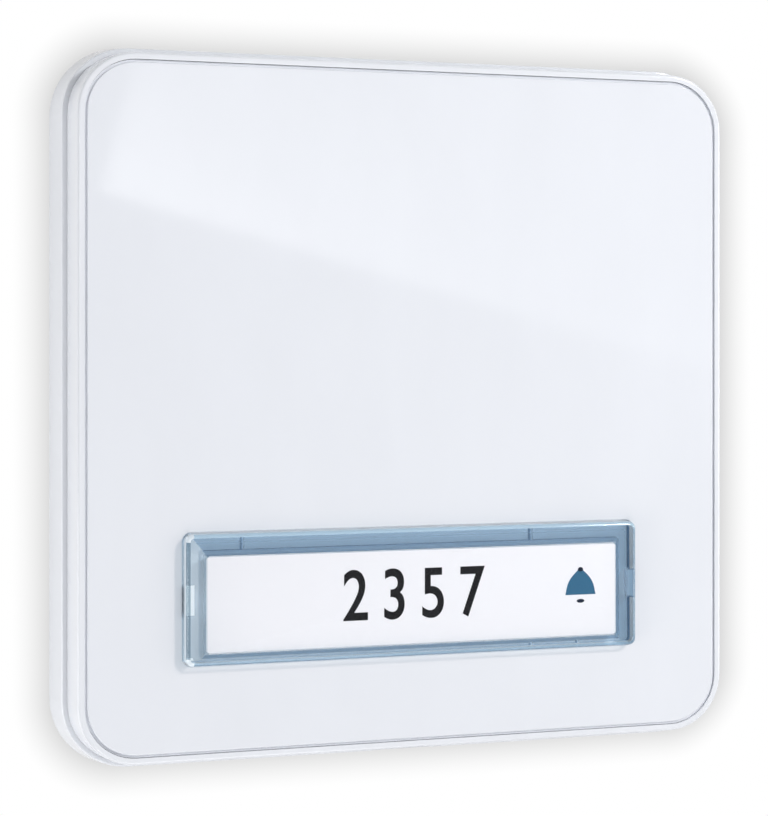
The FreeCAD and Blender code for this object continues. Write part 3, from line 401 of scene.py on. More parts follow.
class Look(Enum):
    """The finishes of the doorbell push."""

    CASING = MouldedPlastic("casing_white", (0.80, 0.82, 0.865), 0.10)
    PANEL = MouldedPlastic("panel_white", (0.80, 0.82, 0.87), 0.03, spread=0.03, grain_depth=0.05 * MICRON)
    CLEAR = ClearPlastic("clear_lens", (0.992, 0.996, 0.998), 0.01, glare=0.15)
    # painted shade and reflection: the rim's blue tints stand in for the dark reflections inside the clear
    # rim
    RIM = ClearPlastic("clear_lens", (0.60, 0.71, 0.82), 0.02, (0.86, 0.91, 0.95))
    # painted shade: a darker blue for the hollows above the pocket and to its right
    RIM_PAINTED_SHADE = ClearPlastic("clear_lens", (0.40, 0.52, 0.64), 0.02, (0.60, 0.69, 0.77))
    # painted light: a paler, hazy tint for the left end, which lies in shade, and painted highlights on the
    # ribs' sides
    RIM_PAINTED_LIGHT = ClearPlastic("clear_lens", (0.70, 0.77, 0.83), 0.02, (0.90, 0.94, 0.97), haze=0.5)
    # painted dark line: stands in for the dark reflections in the channel's ceiling and along the pocket's
    # wall
    RIM_PAINTED_DARK_LINE = ClearPlastic("clear_lens", (0.44, 0.56, 0.67), 0.02, (0.80, 0.87, 0.92), haze=0.4)
    SKIN = ClearPlastic("clear_lens", (0.93, 0.97, 1.0), 0.02, (0.82, 0.87, 0.90), haze=0.8)
    SKIN_END = ClearPlastic("clear_lens", (0.93, 0.97, 1.0), 0.02, (0.38, 0.48, 0.54), haze=0.8)
    # painted shade: the right end's side is darker, as if in its own shade
    SKIN_PAINTED_SHADE = ClearPlastic("clear_lens", (0.66, 0.80, 0.92), 0.02, (0.38, 0.48, 0.54), haze=0.12)
    # painted light and shade on the rounded edge: lighter where it faces up, darker elsewhere, darkest where
    # it faces left
    EDGE = ClearPlastic("clear_lens", (0.77, 0.88, 0.95), 0.10, (0.55, 0.64, 0.70), haze=0.6)
    EDGE_PAINTED_MID_SHADE = ClearPlastic("clear_lens", (0.62, 0.75, 0.85), 0.10, (0.45, 0.55, 0.61), haze=0.3)
    EDGE_PAINTED_DARK_SHADE = ClearPlastic("clear_lens", (0.45, 0.54, 0.60), 0.10, (0.45, 0.55, 0.61), haze=0.2)
    CARD = Paper("card_white", (0.885, 0.885, 0.93), 0.65)
    FIGURES = Ink("card_print", (0.004, 0.004, 0.006), 0.35)
    BELL = Ink("bell_print", (0.036, 0.135, 0.245), 0.35)
    BELL_DARK = Ink("bell_print", (0.008, 0.016, 0.036), 0.35)
    DIFFUSER = MouldedPlastic("diffuser_milk", (0.82, 0.83, 0.84), 0.45, milk=0.5)
    # painted light: the carrier glows by itself, so its clips and the gap round the cap don't show dark
    CARRIER = MouldedPlastic("carrier_white", (0.78, 0.79, 0.80), 0.35, grain_depth=2.0 * MICRON, glow=0.25)
    RETAINER = MouldedPlastic(
        "retainer_grey", (0.36, 0.37, 0.38), 0.45, shade=0.08, grain_depth=3.0 * MICRON
    )
    SCREW = Metal("screw_steel", (0.62, 0.61, 0.58), 0.25)
    SPRING = Metal("spring_steel", (0.55, 0.56, 0.57), 0.2)
    SNAP_STEEL = Metal("switch_steel", (0.66, 0.66, 0.65), 0.18, dull=0.15)
    GROMMET = Rubber("grommet_rubber", (0.035, 0.036, 0.038), 0.65)
    BOARD = SolderMask("board_green", (0.020, 0.140, 0.050), 0.3)
    TRACK = SolderMask("board_green", (0.035, 0.200, 0.070), 0.25)
    SWITCH = MouldedPlastic("switch_black", (0.022, 0.022, 0.024), 0.4, shade=0.3, grain_depth=3.0 * MICRON)
    PLUNGER = MouldedPlastic("plunger_red", (0.46, 0.035, 0.030), 0.35, shade=0.12)
    SOLDER = Metal("solder_tin", (0.70, 0.71, 0.72), 0.22, marks=(1.0, 1.0, 1.0))
    LAMP = MouldedPlastic("lamp_white", (0.80, 0.79, 0.74), 0.3)
    PHOSPHOR = MouldedPlastic("lamp_white", (0.82, 0.70, 0.16), 0.5, milk=0.3)
    CHIP = MouldedPlastic("chip_black", (0.018, 0.018, 0.019), 0.5, shade=0.25, grain_depth=4.0 * MICRON)
    BRASS = Metal("terminal_brass", (0.72, 0.52, 0.22), 0.25)

    def material(self) -> bpy.types.Material:
        """Makes the finish's material when it is first asked for.

        Returns:
            The material, the same one each time.
        """
        name = f"{self.name.lower()}_finish"
        if name not in bpy.data.materials:
            self.value.lay(NodeSheet(bpy.data.materials.new(name)))
        return bpy.data.materials[name]


def dress(**looks: Look) -> None:
    """Gives CAD nodes their finishes.

    Args:
        looks: each node's finish, by the node's name.
    """
    for name, look in looks.items():
        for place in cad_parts[name].material_slots:
            place.material = look.material()
        log.info("dressed %s as %s", name, look.name)


def start_shape() -> None:
    """Leaves edit mode and deselects everything, so that the next operator acts on the new piece alone."""
    if bpy.context.object is not None and bpy.context.object.mode != "OBJECT":
        bpy.ops.object.mode_set(mode="OBJECT")
    bpy.ops.object.select_all(action="DESELECT")


class Workpiece:
    """A mesh in the making, with the steps that shape it. Its place is kept in its mesh."""

    def __init__(self, name: str) -> None:
        """Takes over the object that an operator has just added.

        Args:
            name: the piece's name.
        """
        self.object = bpy.context.object
        self.object.name = name
        self.settle()

    @classmethod
    def box(
        cls, name: str, low: Vector, high: Vector,
        corners: Rounding | None = None, front: Rounding | None = None,
    ) -> "Workpiece":
        """Starts from a block.

        Args:
            name: the piece's name.
            low: its lowest corner.
            high: its highest corner.
            corners: radius and steps of its upright corners, if they are round.
            front: radius and steps of the rounding round its front, if it has one.

        Returns:
            The block.
        """
        start_shape()
        bpy.ops.mesh.primitive_cube_add(size=1.0, location=(low + high) / 2, scale=high - low)
        block = cls(name)
        if corners is not None:
            block.round_corners(*corners)
        if front is not None:
            block.round_end(low.y, *front)
        return block

    @classmethod
    def rod(cls, name: str, centre: Vector, length: float, radius: float, tip: float) -> "Workpiece":
        """Starts from a round rod along Y.

        Args:
            name: the piece's name.
            centre: the middle of the rod.
            length: its length.
            radius: its radius at the end towards the wall.
            tip: its radius at the other end.

        Returns:
            The rod.
        """
        start_shape()
        bpy.ops.mesh.primitive_cone_add(
            vertices=40, radius1=radius, radius2=tip, depth=length, location=centre, rotation=UPRIGHT
        )
        return cls(name)

    def activate(self) -> None:
        """Makes this the one selected object."""
        start_shape()
        self.object.select_set(True)
        bpy.context.view_layer.objects.active = self.object

    def settle(self) -> None:
        """Moves the piece's place, turn and scale into its mesh."""
        self.activate()
        bpy.ops.object.transform_apply(location=True, rotation=True, scale=True)

    @contextmanager
    def editing(self, action: str = "DESELECT") -> Iterator[None]:
        """Opens the mesh for editing, and closes it afterwards.

        Args:
            action: DESELECT or SELECT, for nothing or everything selected.

        Yields:
            Nothing; the mesh is open until the block ends.
        """
        self.activate()
        bpy.ops.object.mode_set(mode="EDIT")
        bpy.ops.mesh.select_all(action=action)
        yield
        bpy.ops.object.mode_set(mode="OBJECT")

    def pick(self, kind: str, test: PlaceTest) -> None:
        """Selects faces or edges of the open mesh, and nothing else.

        Args:
            kind: FACE or EDGE.
            test: says whether one is wanted, from its middle and its normal, or an edge's direction.
        """
        bpy.ops.mesh.select_mode(type=kind)
        bpy.ops.mesh.select_all(action="DESELECT")
        work = bmesh.from_edit_mesh(self.object.data)
        for item in work.faces if kind == "FACE" else work.edges:
            start, end = (corner.co for corner in item.verts[:2])
            middle = item.calc_center_median() if kind == "FACE" else (start + end) / 2
            if test(middle, item.normal if kind == "FACE" else (end - start).normalized()):
                item.select_set(True)
        bmesh.update_edit_mesh(self.object.data)

    def fit(self, low: Vector, high: Vector) -> None:
        """Stretches the selected part of the open mesh until it fills a box, except where it is flat.

        Args:
            low: the box's lowest corner.
            high: its highest corner.
        """
        work = bmesh.from_edit_mesh(self.object.data)
        spots = [corner.co for corner in work.verts if corner.select]
        lowest = Vector(min(spot[axis] for spot in spots) for axis in range(3))
        highest = Vector(max(spot[axis] for spot in spots) for axis in range(3))
        now, wanted = highest - lowest, high - low
        growth = [wanted[axis] / now[axis] if now[axis] > MICRON else 1.0 for axis in range(3)]
        middle = (lowest + highest) / 2
        bpy.ops.transform.resize(value=growth, center_override=middle)
        bpy.ops.transform.translate(value=(low + high) / 2 - middle)

    def push(self, distance: float) -> None:
        """Extrudes the selected faces of the open mesh along Y."""
        bpy.ops.mesh.extrude_region_move()
        bpy.ops.transform.translate(value=(0.0, distance, 0.0))

    def narrow(self, low: Vector, high: Vector) -> None:
        """Insets the selected face of the open mesh, and gives the inner one a box's outline."""
        bpy.ops.mesh.inset(thickness=30 * MICRON)
        self.fit(low, high)

    def round_corners(self, radius: float, segments: int = 6) -> None:
        """Rounds the four upright edges of a block, which run along Y."""
        with self.editing():
            self.pick("EDGE", lambda middle, along: abs(along.y) > 0.99)
            bpy.ops.mesh.bevel(offset=radius, segments=segments, affect="EDGES")

    def round_end(self, depth: float, radius: float, segments: int = 4) -> None:
        """Rounds the outline of the flat face that lies at a given y.

        Args:
            depth: the face's y.
            radius: the rounding's radius.
            segments: how many steps the rounding has.
        """
        with self.editing():
            self.pick("FACE", lambda middle, normal: abs(middle.y - depth) < MICRON and abs(normal.y) > 0.99)
            bpy.ops.mesh.region_to_loop()
            bpy.ops.mesh.bevel(offset=radius, segments=segments, affect="EDGES")

    def apply(self, kind: str, **settings: object) -> None:
        """Adds a modifier and applies it at once.

        Args:
            kind: the modifier's type.
            settings: its properties, by name.
        """
        step = self.object.modifiers.new("step", kind)
        for name, value in settings.items():
            setattr(step, name, value)
        self.activate()
        bpy.ops.object.modifier_apply(modifier=step.name)

    def combine(self, tool: "Workpiece", operation: str = "DIFFERENCE") -> None:
        """Cuts another workpiece out of this one, or adds it if the operation is UNION, and uses it up."""
        self.apply("BOOLEAN", operation=operation, object=tool.object)
        bpy.data.objects.remove(tool.object)

    def copy(self, move: Point) -> "Workpiece":
        """Makes a moved copy with a mesh of its own.

        Args:
            move: how far it is moved.

        Returns:
            The copy.
        """
        self.activate()
        bpy.ops.object.duplicate()
        bpy.ops.transform.translate(value=move)
        return Workpiece(f"{self.object.name}_twin")

    def join(self, others: list["Workpiece"]) -> None:
        """Takes other workpieces into this one's mesh, as separate bodies.

        Args:
            others: the other workpieces.
        """
        self.activate()
        for other in others:
            other.object.select_set(True)
        bpy.ops.object.join()

    def tidy(self) -> None:
        """Merges doubles and turns all faces outwards."""
        with self.editing("SELECT"):
            bpy.ops.mesh.remove_doubles(threshold=MICRON)
            bpy.ops.mesh.normals_make_consistent(inside=False)

    def paint(self, look: Look, test: PlaceTest) -> None:
        """Gives some faces a second finish.

        Args:
            look: the finish.
            test: says whether a face gets it, from its middle and its normal.
        """
        materials = self.object.data.materials
        materials.append(look.material())
        for face in self.object.data.polygons:
            if test(face.center, face.normal):
                face.material_index = len(materials) - 1

    def finish(self, body: str, look: Look, stands_for: str | None = None) -> bpy.types.Object:
        """Smooths and dresses the piece, and lets it ride on its body.

        Args:
            body: the CAD body it moves with.
            look: its main finish.
            stands_for: the CAD node that it replaces, if there is one.

        Returns:
            The finished piece.
        """
        self.activate()
        bpy.ops.object.shade_smooth_by_angle(angle=SMOOTH_ANGLE)
        self.object.data.materials.clear()
        self.object.data.materials.append(look.material())
        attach(self.object, body)
        if stands_for is not None:
            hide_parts(stands_for)
        log.info("made %s as %s", self.object.name, look.name)
        return self.object


@dataclass
class Casing:
    """The fixed shells, the grommet in the rear one, and the frame and screws that hold the cap in."""

    def build(self) -> None:
        """Dresses the casing's nodes."""
        dress(
            rear_housing=Look.CASING, front_cover=Look.CASING, front_panel=Look.PANEL,
            cable_grommet=Look.GROMMET, button_retainer=Look.RETAINER, retainer_screws=Look.SCREW,
        )


class Zone(Enum):
    """Where a face of the cap lies, or where it looks."""

    HOLLOW = "the pocket's sides, the channel or a notch"
    ABOVE_OR_RIGHT = "above the pocket or to its right"
    LEFT_END = "left of the pocket, or its left side"
    DEEP_BAND = "the line in the channel's ceiling, or the pocket's wall"
    RIB = "a side of a rib"
    SKIN = "the rim's outer sides, or the ring at their back"
    EDGE = "the rounding round the front"
    LEFT_NOTCH = "the left notch's ceiling"
    LEFT_CORNER = "the edge or the channel's ceiling, at a left corner"
    LOOKS_ASIDE = "to the left or right"
    LOOKS_RIGHT = "straight to the right"
    LOOKS_LEFT = "mostly to the left"
    LOOKS_UP = "upwards"


@dataclass
class PushCap:
    """The part that is pressed, with the milky plate behind its card and the springs that bring it back.

    Attributes:
        corner: radius of the cap's upright corners.
        front_round: radius of the rounding round its front.
        seat_gap: air between the cap's rear edge and the carrier.
        skin: thickness of the rim's outer wall.
        channel: depth of the channel in the rim's back.
        pocket_wall: thickness of the wall between that channel and the card's pocket.
        pocket_half: half the pocket's width.
        pocket_ends: heights of the pocket's lower and upper side.
        ceiling: how far the pocket's ceiling lies from the wall.
        chamfer: width of the slope round that ceiling.
        line: the shares of the channel's width, from outside, between which its ceiling has a painted dark
            line, standing in for dark reflections.
        notch_reach: how far the clips' notches go into the cap's ends.
        notch_skin: thickness of the wall that is left outside them.
        notch_height: their height.
        notch_top: how far their ceiling lies from the wall.
        rib_width: thickness of the small ribs across the channel.
        rib_places: where they stand along X, and on which long side, 1 for the upper one.
        plate_border: width of the milky plate's edge, round the hollow in its back.
        plate_hollow: depth of that hollow.
        plate_slope: how much smaller its floor is than its rim, along each axis.
        travel: how far the cap goes in; not used.
        wire: thickness of the springs' wire.
        turns: number of turns in each spring.
    """

    corner: float = 0.9 * MM
    front_round: float = 0.45 * MM
    seat_gap: float = 0.03 * MM
    skin: float = 0.5 * MM
    channel: float = 0.8 * MM
    pocket_wall: float = 0.45 * MM
    pocket_half: float = 27.15 * MM
    pocket_ends: tuple[float, float] = (-29.65 * MM, -17.65 * MM)
    ceiling: float = 10.1 * MM
    chamfer: float = 0.25 * MM
    line: tuple[float, float] = (0.36, 0.45)
    notch_reach: float = 1.1 * MM
    notch_skin: float = 0.12 * MM
    notch_height: float = 3.6 * MM
    notch_top: float = 10.2 * MM
    rib_width: float = 0.35 * MM
    rib_places: tuple[tuple[float, int], ...] = (
        (-22.3 * MM, 1), (15.5 * MM, 1), (15.5 * MM, -1), (21.9 * MM, -1)
    )
    plate_border: float = 1.2 * MM
    plate_hollow: float = 0.5 * MM
    plate_slope: Point = (0.99, 1.0, 0.96)
    travel: float = 1.0 * MM
    wire: float = 0.35 * MM
    turns: int = 3

    def __post_init__(self) -> None:
        """Reads the cap's box, and works out where the channel in its rim lies."""
        self.low, self.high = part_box("button_lens")
        self.middle = (self.low + self.high) / 2
        self.core = (self.high - self.low) / 2 - Vector((self.corner, 0.0, self.corner))
        self.back = self.high.y - self.seat_gap
        self.bed = self.back - self.channel
        self.inner = self.pocket(self.pocket_wall, self.bed)
        self.outer = (
            Vector((self.low.x + self.skin, self.bed, self.low.z + self.skin)),
            Vector((self.high.x - self.skin, self.bed, self.high.z - self.skin)),
        )

    def build(self) -> None:
        """Builds the cap, the milky plate and the springs, and dresses the carrier."""
        dress(button_carrier=Look.CARRIER)
        cap = self.build_lens()
        self.cut_notches(cap)
        self.add_ribs(cap)
        cap.finish("button", Look.CLEAR, "button_lens")
        self.tint_lens(cap)
        self.build_diffuser()
        for side in ("left", "right"):
            self.build_spring(f"return_spring_{side}")

    def pocket(self, grow: float, depth: float) -> tuple[Vector, Vector]:
        """Gives the pocket's outline.

        Args:
            grow: how much larger it is on every side.
            depth: the y it lies at.

        Returns:
            Its lowest and highest corner.
        """
        lower, upper = self.pocket_ends
        reach = self.pocket_half + grow
        return Vector((-reach, depth, lower - grow)), Vector((reach, depth, upper + grow))

    def build_lens(self) -> Workpiece:
        """Shapes the cap: a block rounded in front, hollowed behind for the card and along its rim.

        Returns:
            The cap, without its notches and ribs.
        """
        cap = Workpiece.box(
            "clear_cap", self.low, Vector((self.high.x, self.back, self.high.z)),
            corners=(self.corner, 6), front=(self.front_round, 4),
        )
        with cap.editing():
            cap.pick("FACE", lambda middle, normal: normal.y > 0.99)
            bpy.ops.mesh.inset(thickness=self.skin)
            cap.push(-self.channel)
            for share in (*self.line, 1.0):
                cap.narrow(*(start.lerp(end, share) for start, end in zip(self.outer, self.inner)))
            cap.push(self.channel)
            cap.narrow(*self.pocket(0.0, self.back))
            cap.push(self.chamfer - self.ceiling - self.back)
            cap.push(-self.chamfer)
            cap.fit(*self.pocket(-self.chamfer, -self.ceiling))
        return cap

    def cut_notches(self, cap: Workpiece) -> None:
        """Cuts a notch for a clip into each end of the cap."""
        reach = self.notch_height / 2
        for side in (-1, 1):
            ends = sorted((side * (self.high.x - self.notch_skin), side * (self.high.x - self.notch_reach)))
            low = Vector((ends[0], -self.notch_top, self.middle.z - reach))
            cap.combine(Workpiece.box("notch", low, Vector((ends[1], 0.0, self.middle.z + reach))))

    def add_ribs(self, cap: Workpiece) -> None:
        """Sets the small ribs into the cap's channel. They reach a little into its ceiling and walls."""
        reach = self.rib_width / 2
        for place, side in self.rib_places:
            corner = max(side, 0)
            starts = self.inner[corner].z - side * self.pocket_wall / 2
            ends = self.outer[corner].z + side * self.skin / 2
            low = Vector((place - reach, self.bed - 0.1 * MM, min(starts, ends)))
            high = Vector((place + reach, self.back - 0.05 * MM, max(starts, ends)))
            cap.combine(Workpiece.box("rib", low, high), "UNION")

    def tint_lens(self, cap: Workpiece) -> None:
        """Gives the cap's rim, skin and rounded edge their tints, each on top of the ones before it; most
        are painted light and shade.
        """
        for look, wanted in (
            (Look.RIM, {Zone.HOLLOW}),
            # painted shade above the pocket and to its right
            (Look.RIM_PAINTED_SHADE, {Zone.HOLLOW, Zone.ABOVE_OR_RIGHT}),
            # painted light on the left end
            (Look.RIM_PAINTED_LIGHT, {Zone.HOLLOW, Zone.LEFT_END}),
            # painted dark line in the channel's ceiling and on the pocket's wall
            (Look.RIM_PAINTED_DARK_LINE, {Zone.DEEP_BAND}),
            # painted highlights on the ribs' sides
            (Look.RIM_PAINTED_LIGHT, {Zone.RIB}),
            (Look.SKIN, {Zone.SKIN}),
            (Look.SKIN_END, {Zone.SKIN, Zone.LOOKS_ASIDE}),
            # painted shade on the right end
            (Look.SKIN_PAINTED_SHADE, {Zone.SKIN, Zone.LOOKS_RIGHT}),
            # painted light and shade on the rounded edge, by the way it faces
            (Look.EDGE_PAINTED_MID_SHADE, {Zone.EDGE}),
            (Look.EDGE, {Zone.EDGE, Zone.LOOKS_UP}),
            (Look.EDGE_PAINTED_DARK_SHADE, {Zone.EDGE, Zone.LOOKS_LEFT}),
            # painted light: a pale veil over the left notch, so the clip behind it, which lies in shade,
            # doesn't show dark
            (Look.SKIN, {Zone.LEFT_NOTCH}),
            # painted highlight at the cap's left corners
            (Look.SKIN, {Zone.LEFT_CORNER}),
        ):
            cap.paint(look, lambda middle, normal: wanted <= self.zones(middle, normal))

    def share_inwards(self, spot: Vector) -> float:
        """Tells how far across the channel a spot lies: 0 at its outer side, 1 at the pocket's wall."""
        return min(
            (outer[axis] - spot[axis]) / (outer[axis] - inner[axis])
            for axis in (0, 2) for outer, inner in zip(self.outer, self.inner)
        )

    def zones(self, middle: Vector, normal: Vector) -> set[Zone]:
        """Finds the zones that a face of the cap belongs to.

        Args:
            middle: the face's middle.
            normal: its normal.

        Returns:
            The zones.
        """
        aside = abs(middle.x - self.middle.x) - self.core.x
        above = abs(middle.z - self.middle.z) - self.core.z
        outside = math.hypot(max(aside, 0.0), max(above, 0.0)) > 0.5 * self.corner
        share = self.share_inwards(middle)
        behind = middle.y > self.chamfer / 4 - self.ceiling
        notched = abs(middle.x) > self.high.x - self.notch_reach and middle.y > -self.notch_top - MICRON
        in_bed = abs(middle.y - self.bed) < MICRON
        lined = in_bed and self.line[0] < share < self.line[1]
        left = middle.x < self.chamfer - self.pocket_half
        right = middle.x > self.pocket_half - self.chamfer
        ribbed = any(abs(middle.x - place) < self.rib_width / 2 + MICRON for place, side in self.rib_places)
        on_edge = middle.y < self.low.y + self.front_round and normal.y > -0.999
        found = {
            Zone.HOLLOW: (behind or notched) and not outside,
            Zone.ABOVE_OR_RIGHT: right or middle.z > self.pocket_ends[1] - self.chamfer,
            Zone.LEFT_END: left,
            Zone.DEEP_BAND: (lined or behind and share > 1.01) and not left,
            Zone.RIB: ribbed and abs(normal.x) > 0.99,
            Zone.SKIN: outside and middle.y > self.low.y + self.front_round,
            Zone.EDGE: on_edge,
            Zone.LOOKS_ASIDE: abs(normal.x) > 0.3,
            Zone.LOOKS_RIGHT: normal.x > 0.3 and abs(normal.z) < 0.01,
            Zone.LOOKS_LEFT: normal.x < -0.05 and abs(normal.z) < 0.3,
            Zone.LOOKS_UP: normal.z > 0.05,
            Zone.LEFT_NOTCH: middle.x < 0.0 and abs(middle.y + self.notch_top) < MICRON,
            Zone.LEFT_CORNER: middle.x < self.middle.x and min(aside, above) > 0.0 and (on_edge or in_bed),
        }
        return {zone for zone, holds in found.items() if holds}

    def build_diffuser(self) -> None:
        """Shapes the milky plate, with a shallow hollow behind that spreads the light."""
        low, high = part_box("light_diffuser")
        plate = Workpiece.box("milky_plate", low, high, corners=(0.5 * MM, 6), front=(0.1 * MM, 2))
        with plate.editing():
            plate.pick("FACE", lambda middle, normal: normal.y > 0.99)
            bpy.ops.mesh.inset(thickness=self.plate_border)
            plate.push(-self.plate_hollow)
            bpy.ops.transform.resize(value=self.plate_slope, center_override=(low + high) / 2)
        plate.finish("button", Look.DIFFUSER, "light_diffuser")

    def build_spring(self, node: str) -> None:
        """Winds a return spring, shaped at rest. The cap presses it flatter as it goes in.

        Args:
            node: the spring's node.
        """
        low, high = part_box(node)
        height = high.y - low.y
        reach = (high.x - low.x - self.wire) / 2
        steps = 40 * self.turns
        start_shape()
        bpy.ops.mesh.primitive_circle_add(vertices=12, radius=self.wire / 2, location=(reach, 0.0, 0.0))
        coil = Workpiece(f"{node}_coil")
        coil.apply(
            "SCREW", axis="Y", angle=2 * math.pi * self.turns, screw_offset=height - self.wire,
            steps=steps, render_steps=steps,
        )
        with coil.editing("SELECT"):
            bpy.ops.mesh.fill_holes(sides=0)
            bpy.ops.mesh.select_all(action="SELECT")
            coil.fit(low, high)
        coil.tidy()
        piece = coil.finish("housing", Look.SPRING, node)
        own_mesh(piece)


@dataclass
class Card:
    """The printed card: plain figures and a small bell.

    Attributes:
        corner: radius of the card's corners.
        ink: how far the print stands out, so that it shows clearly.
        print_rise: how far the figures' middle lies above the card's.
        figures: the figures.
        figure_height: their height.
        figure_share: that height as a share of the plain type's size.
        figure_narrowing: how much narrower they are than the plain type.
        figure_spacing: how far apart they stand, as a share of the plain type's spacing.
        figure_boldness: how much wider each stroke is on each side.
        figure_middle: where their middle lies, along X.
        bell_top: where the bell's top lies, along X and Z.
        bell_shoulder: where its right shoulder lies, from the top, along X and Z.
        bell_foot: where its right foot lies, from the top, along X and Z.
        bell_ovals: the knob on it and the clapper under it: height from its top, half width, half height.
    """

    corner: float = 0.4 * MM
    ink: float = 0.02 * MM
    print_rise: float = 0.65 * MM
    figures: str = "2357"
    figure_height: float = 6.4 * MM
    figure_share: float = 0.729
    figure_narrowing: float = 0.80
    figure_spacing: float = 1.45
    figure_boldness: float = 0.08 * MM
    figure_middle: float = -0.40 * MM
    bell_top: tuple[float, float] = (22.05 * MM, -20.8 * MM)
    bell_shoulder: tuple[float, float] = (1.6 * MM, -1.75 * MM)
    bell_foot: tuple[float, float] = (2.1 * MM, -3.45 * MM)
    bell_ovals: tuple[tuple[str, Point], ...] = (
        ("bell_knob", (-0.25 * MM, 0.36 * MM, 0.28 * MM)),
        ("bell_clapper", (-4.25 * MM, 0.52 * MM, 0.24 * MM)),
    )

    def __post_init__(self) -> None:
        """Reads the card's box."""
        self.low, self.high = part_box("name_card")

    def build(self) -> None:
        """Cuts the card and prints on it."""
        card = Workpiece.box(
            "white_card", self.low, self.high, corners=(self.corner, 6), front=(2 * self.ink, 2)
        )
        card.finish("button", Look.CARD, "name_card")
        self.print_figures()
        self.print_bell()
        for name, oval in self.bell_ovals:
            self.print_oval(name, *oval)

    def set_down(self, name: str, look: Look) -> None:
        """Makes a drawn outline into print that lies on the card.

        Args:
            name: the print's name.
            look: its ink.
        """
        drawing = bpy.context.object
        drawing.data.fill_mode = "BOTH"
        drawing.data.extrude = self.ink / 2
        bpy.ops.object.convert(target="MESH")
        layer = Workpiece(name)
        with layer.editing("SELECT"):
            bpy.ops.transform.translate(value=(0.0, self.low.y - self.ink / 2, 0.0))
        layer.tidy()
        layer.finish("button", look)

    def print_figures(self) -> None:
        """Prints the figures as narrow, bold strokes."""
        start_shape()
        bpy.ops.object.text_add(rotation=UPRIGHT)
        lettering = bpy.context.object.data
        lettering.body = self.figures
        lettering.size = self.figure_height / self.figure_share
        lettering.space_character = self.figure_spacing
        bpy.ops.object.convert(target="CURVE")
        bpy.context.view_layer.update()
        corners = [Vector(corner) for corner in bpy.context.object.bound_box]
        middle = (max(corner.x for corner in corners) + min(corner.x for corner in corners)) / 2
        lowest = (self.low.z + self.high.z) / 2 + self.print_rise - self.figure_height / 2
        bpy.ops.transform.resize(value=(self.figure_narrowing, 1.0, 1.0))
        bpy.ops.transform.translate(value=(self.figure_middle - middle * self.figure_narrowing, 0.0, lowest))
        bpy.ops.object.transform_apply(location=False, rotation=False, scale=True)
        bpy.context.object.data.offset = self.figure_boldness
        self.set_down("card_figures", Look.FIGURES)

    def print_bell(self) -> None:
        """Prints the bell, drawn with eight curve points: feet, shoulders, its top and its lower edge."""
        start_shape()
        bpy.ops.curve.primitive_bezier_circle_add(rotation=UPRIGHT)
        outline = bpy.context.object.data
        outline.dimensions = "2D"
        bpy.ops.object.mode_set(mode="EDIT")
        bpy.ops.curve.select_all(action="SELECT")
        bpy.ops.curve.subdivide()
        bpy.ops.object.mode_set(mode="OBJECT")
        (out, shoulder), (foot, floor) = self.bell_shoulder, self.bell_foot
        places = (
            (-foot, floor), (-out, shoulder), (0.0, 0.0), (out, shoulder),
            (foot, floor), (foot / 2, floor), (0.0, floor), (-foot / 2, floor),
        )
        for point, place in zip(outline.splines[0].bezier_points, places):
            kind = "AUTO" if place[1] == shoulder else "VECTOR"
            point.handle_left_type = point.handle_right_type = kind
            point.co = (*place, 0.0)
        bpy.ops.transform.translate(value=(self.bell_top[0], 0.0, self.bell_top[1]))
        self.set_down("card_bell", Look.BELL)

    def print_oval(self, name: str, below: float, reach: float, rise: float) -> None:
        """Prints a small oval on or under the bell.

        Args:
            name: the oval's name.
            below: its height, from the bell's top.
            reach: half its width.
            rise: half its height.
        """
        start_shape()
        place = (self.bell_top[0], -self.ink / 2, self.bell_top[1] + below)
        bpy.ops.curve.primitive_bezier_circle_add(rotation=UPRIGHT, location=place)
        bpy.context.object.data.dimensions = "2D"
        bpy.ops.transform.resize(value=(reach, 1.0, rise))
        self.set_down(name, Look.BELL_DARK)


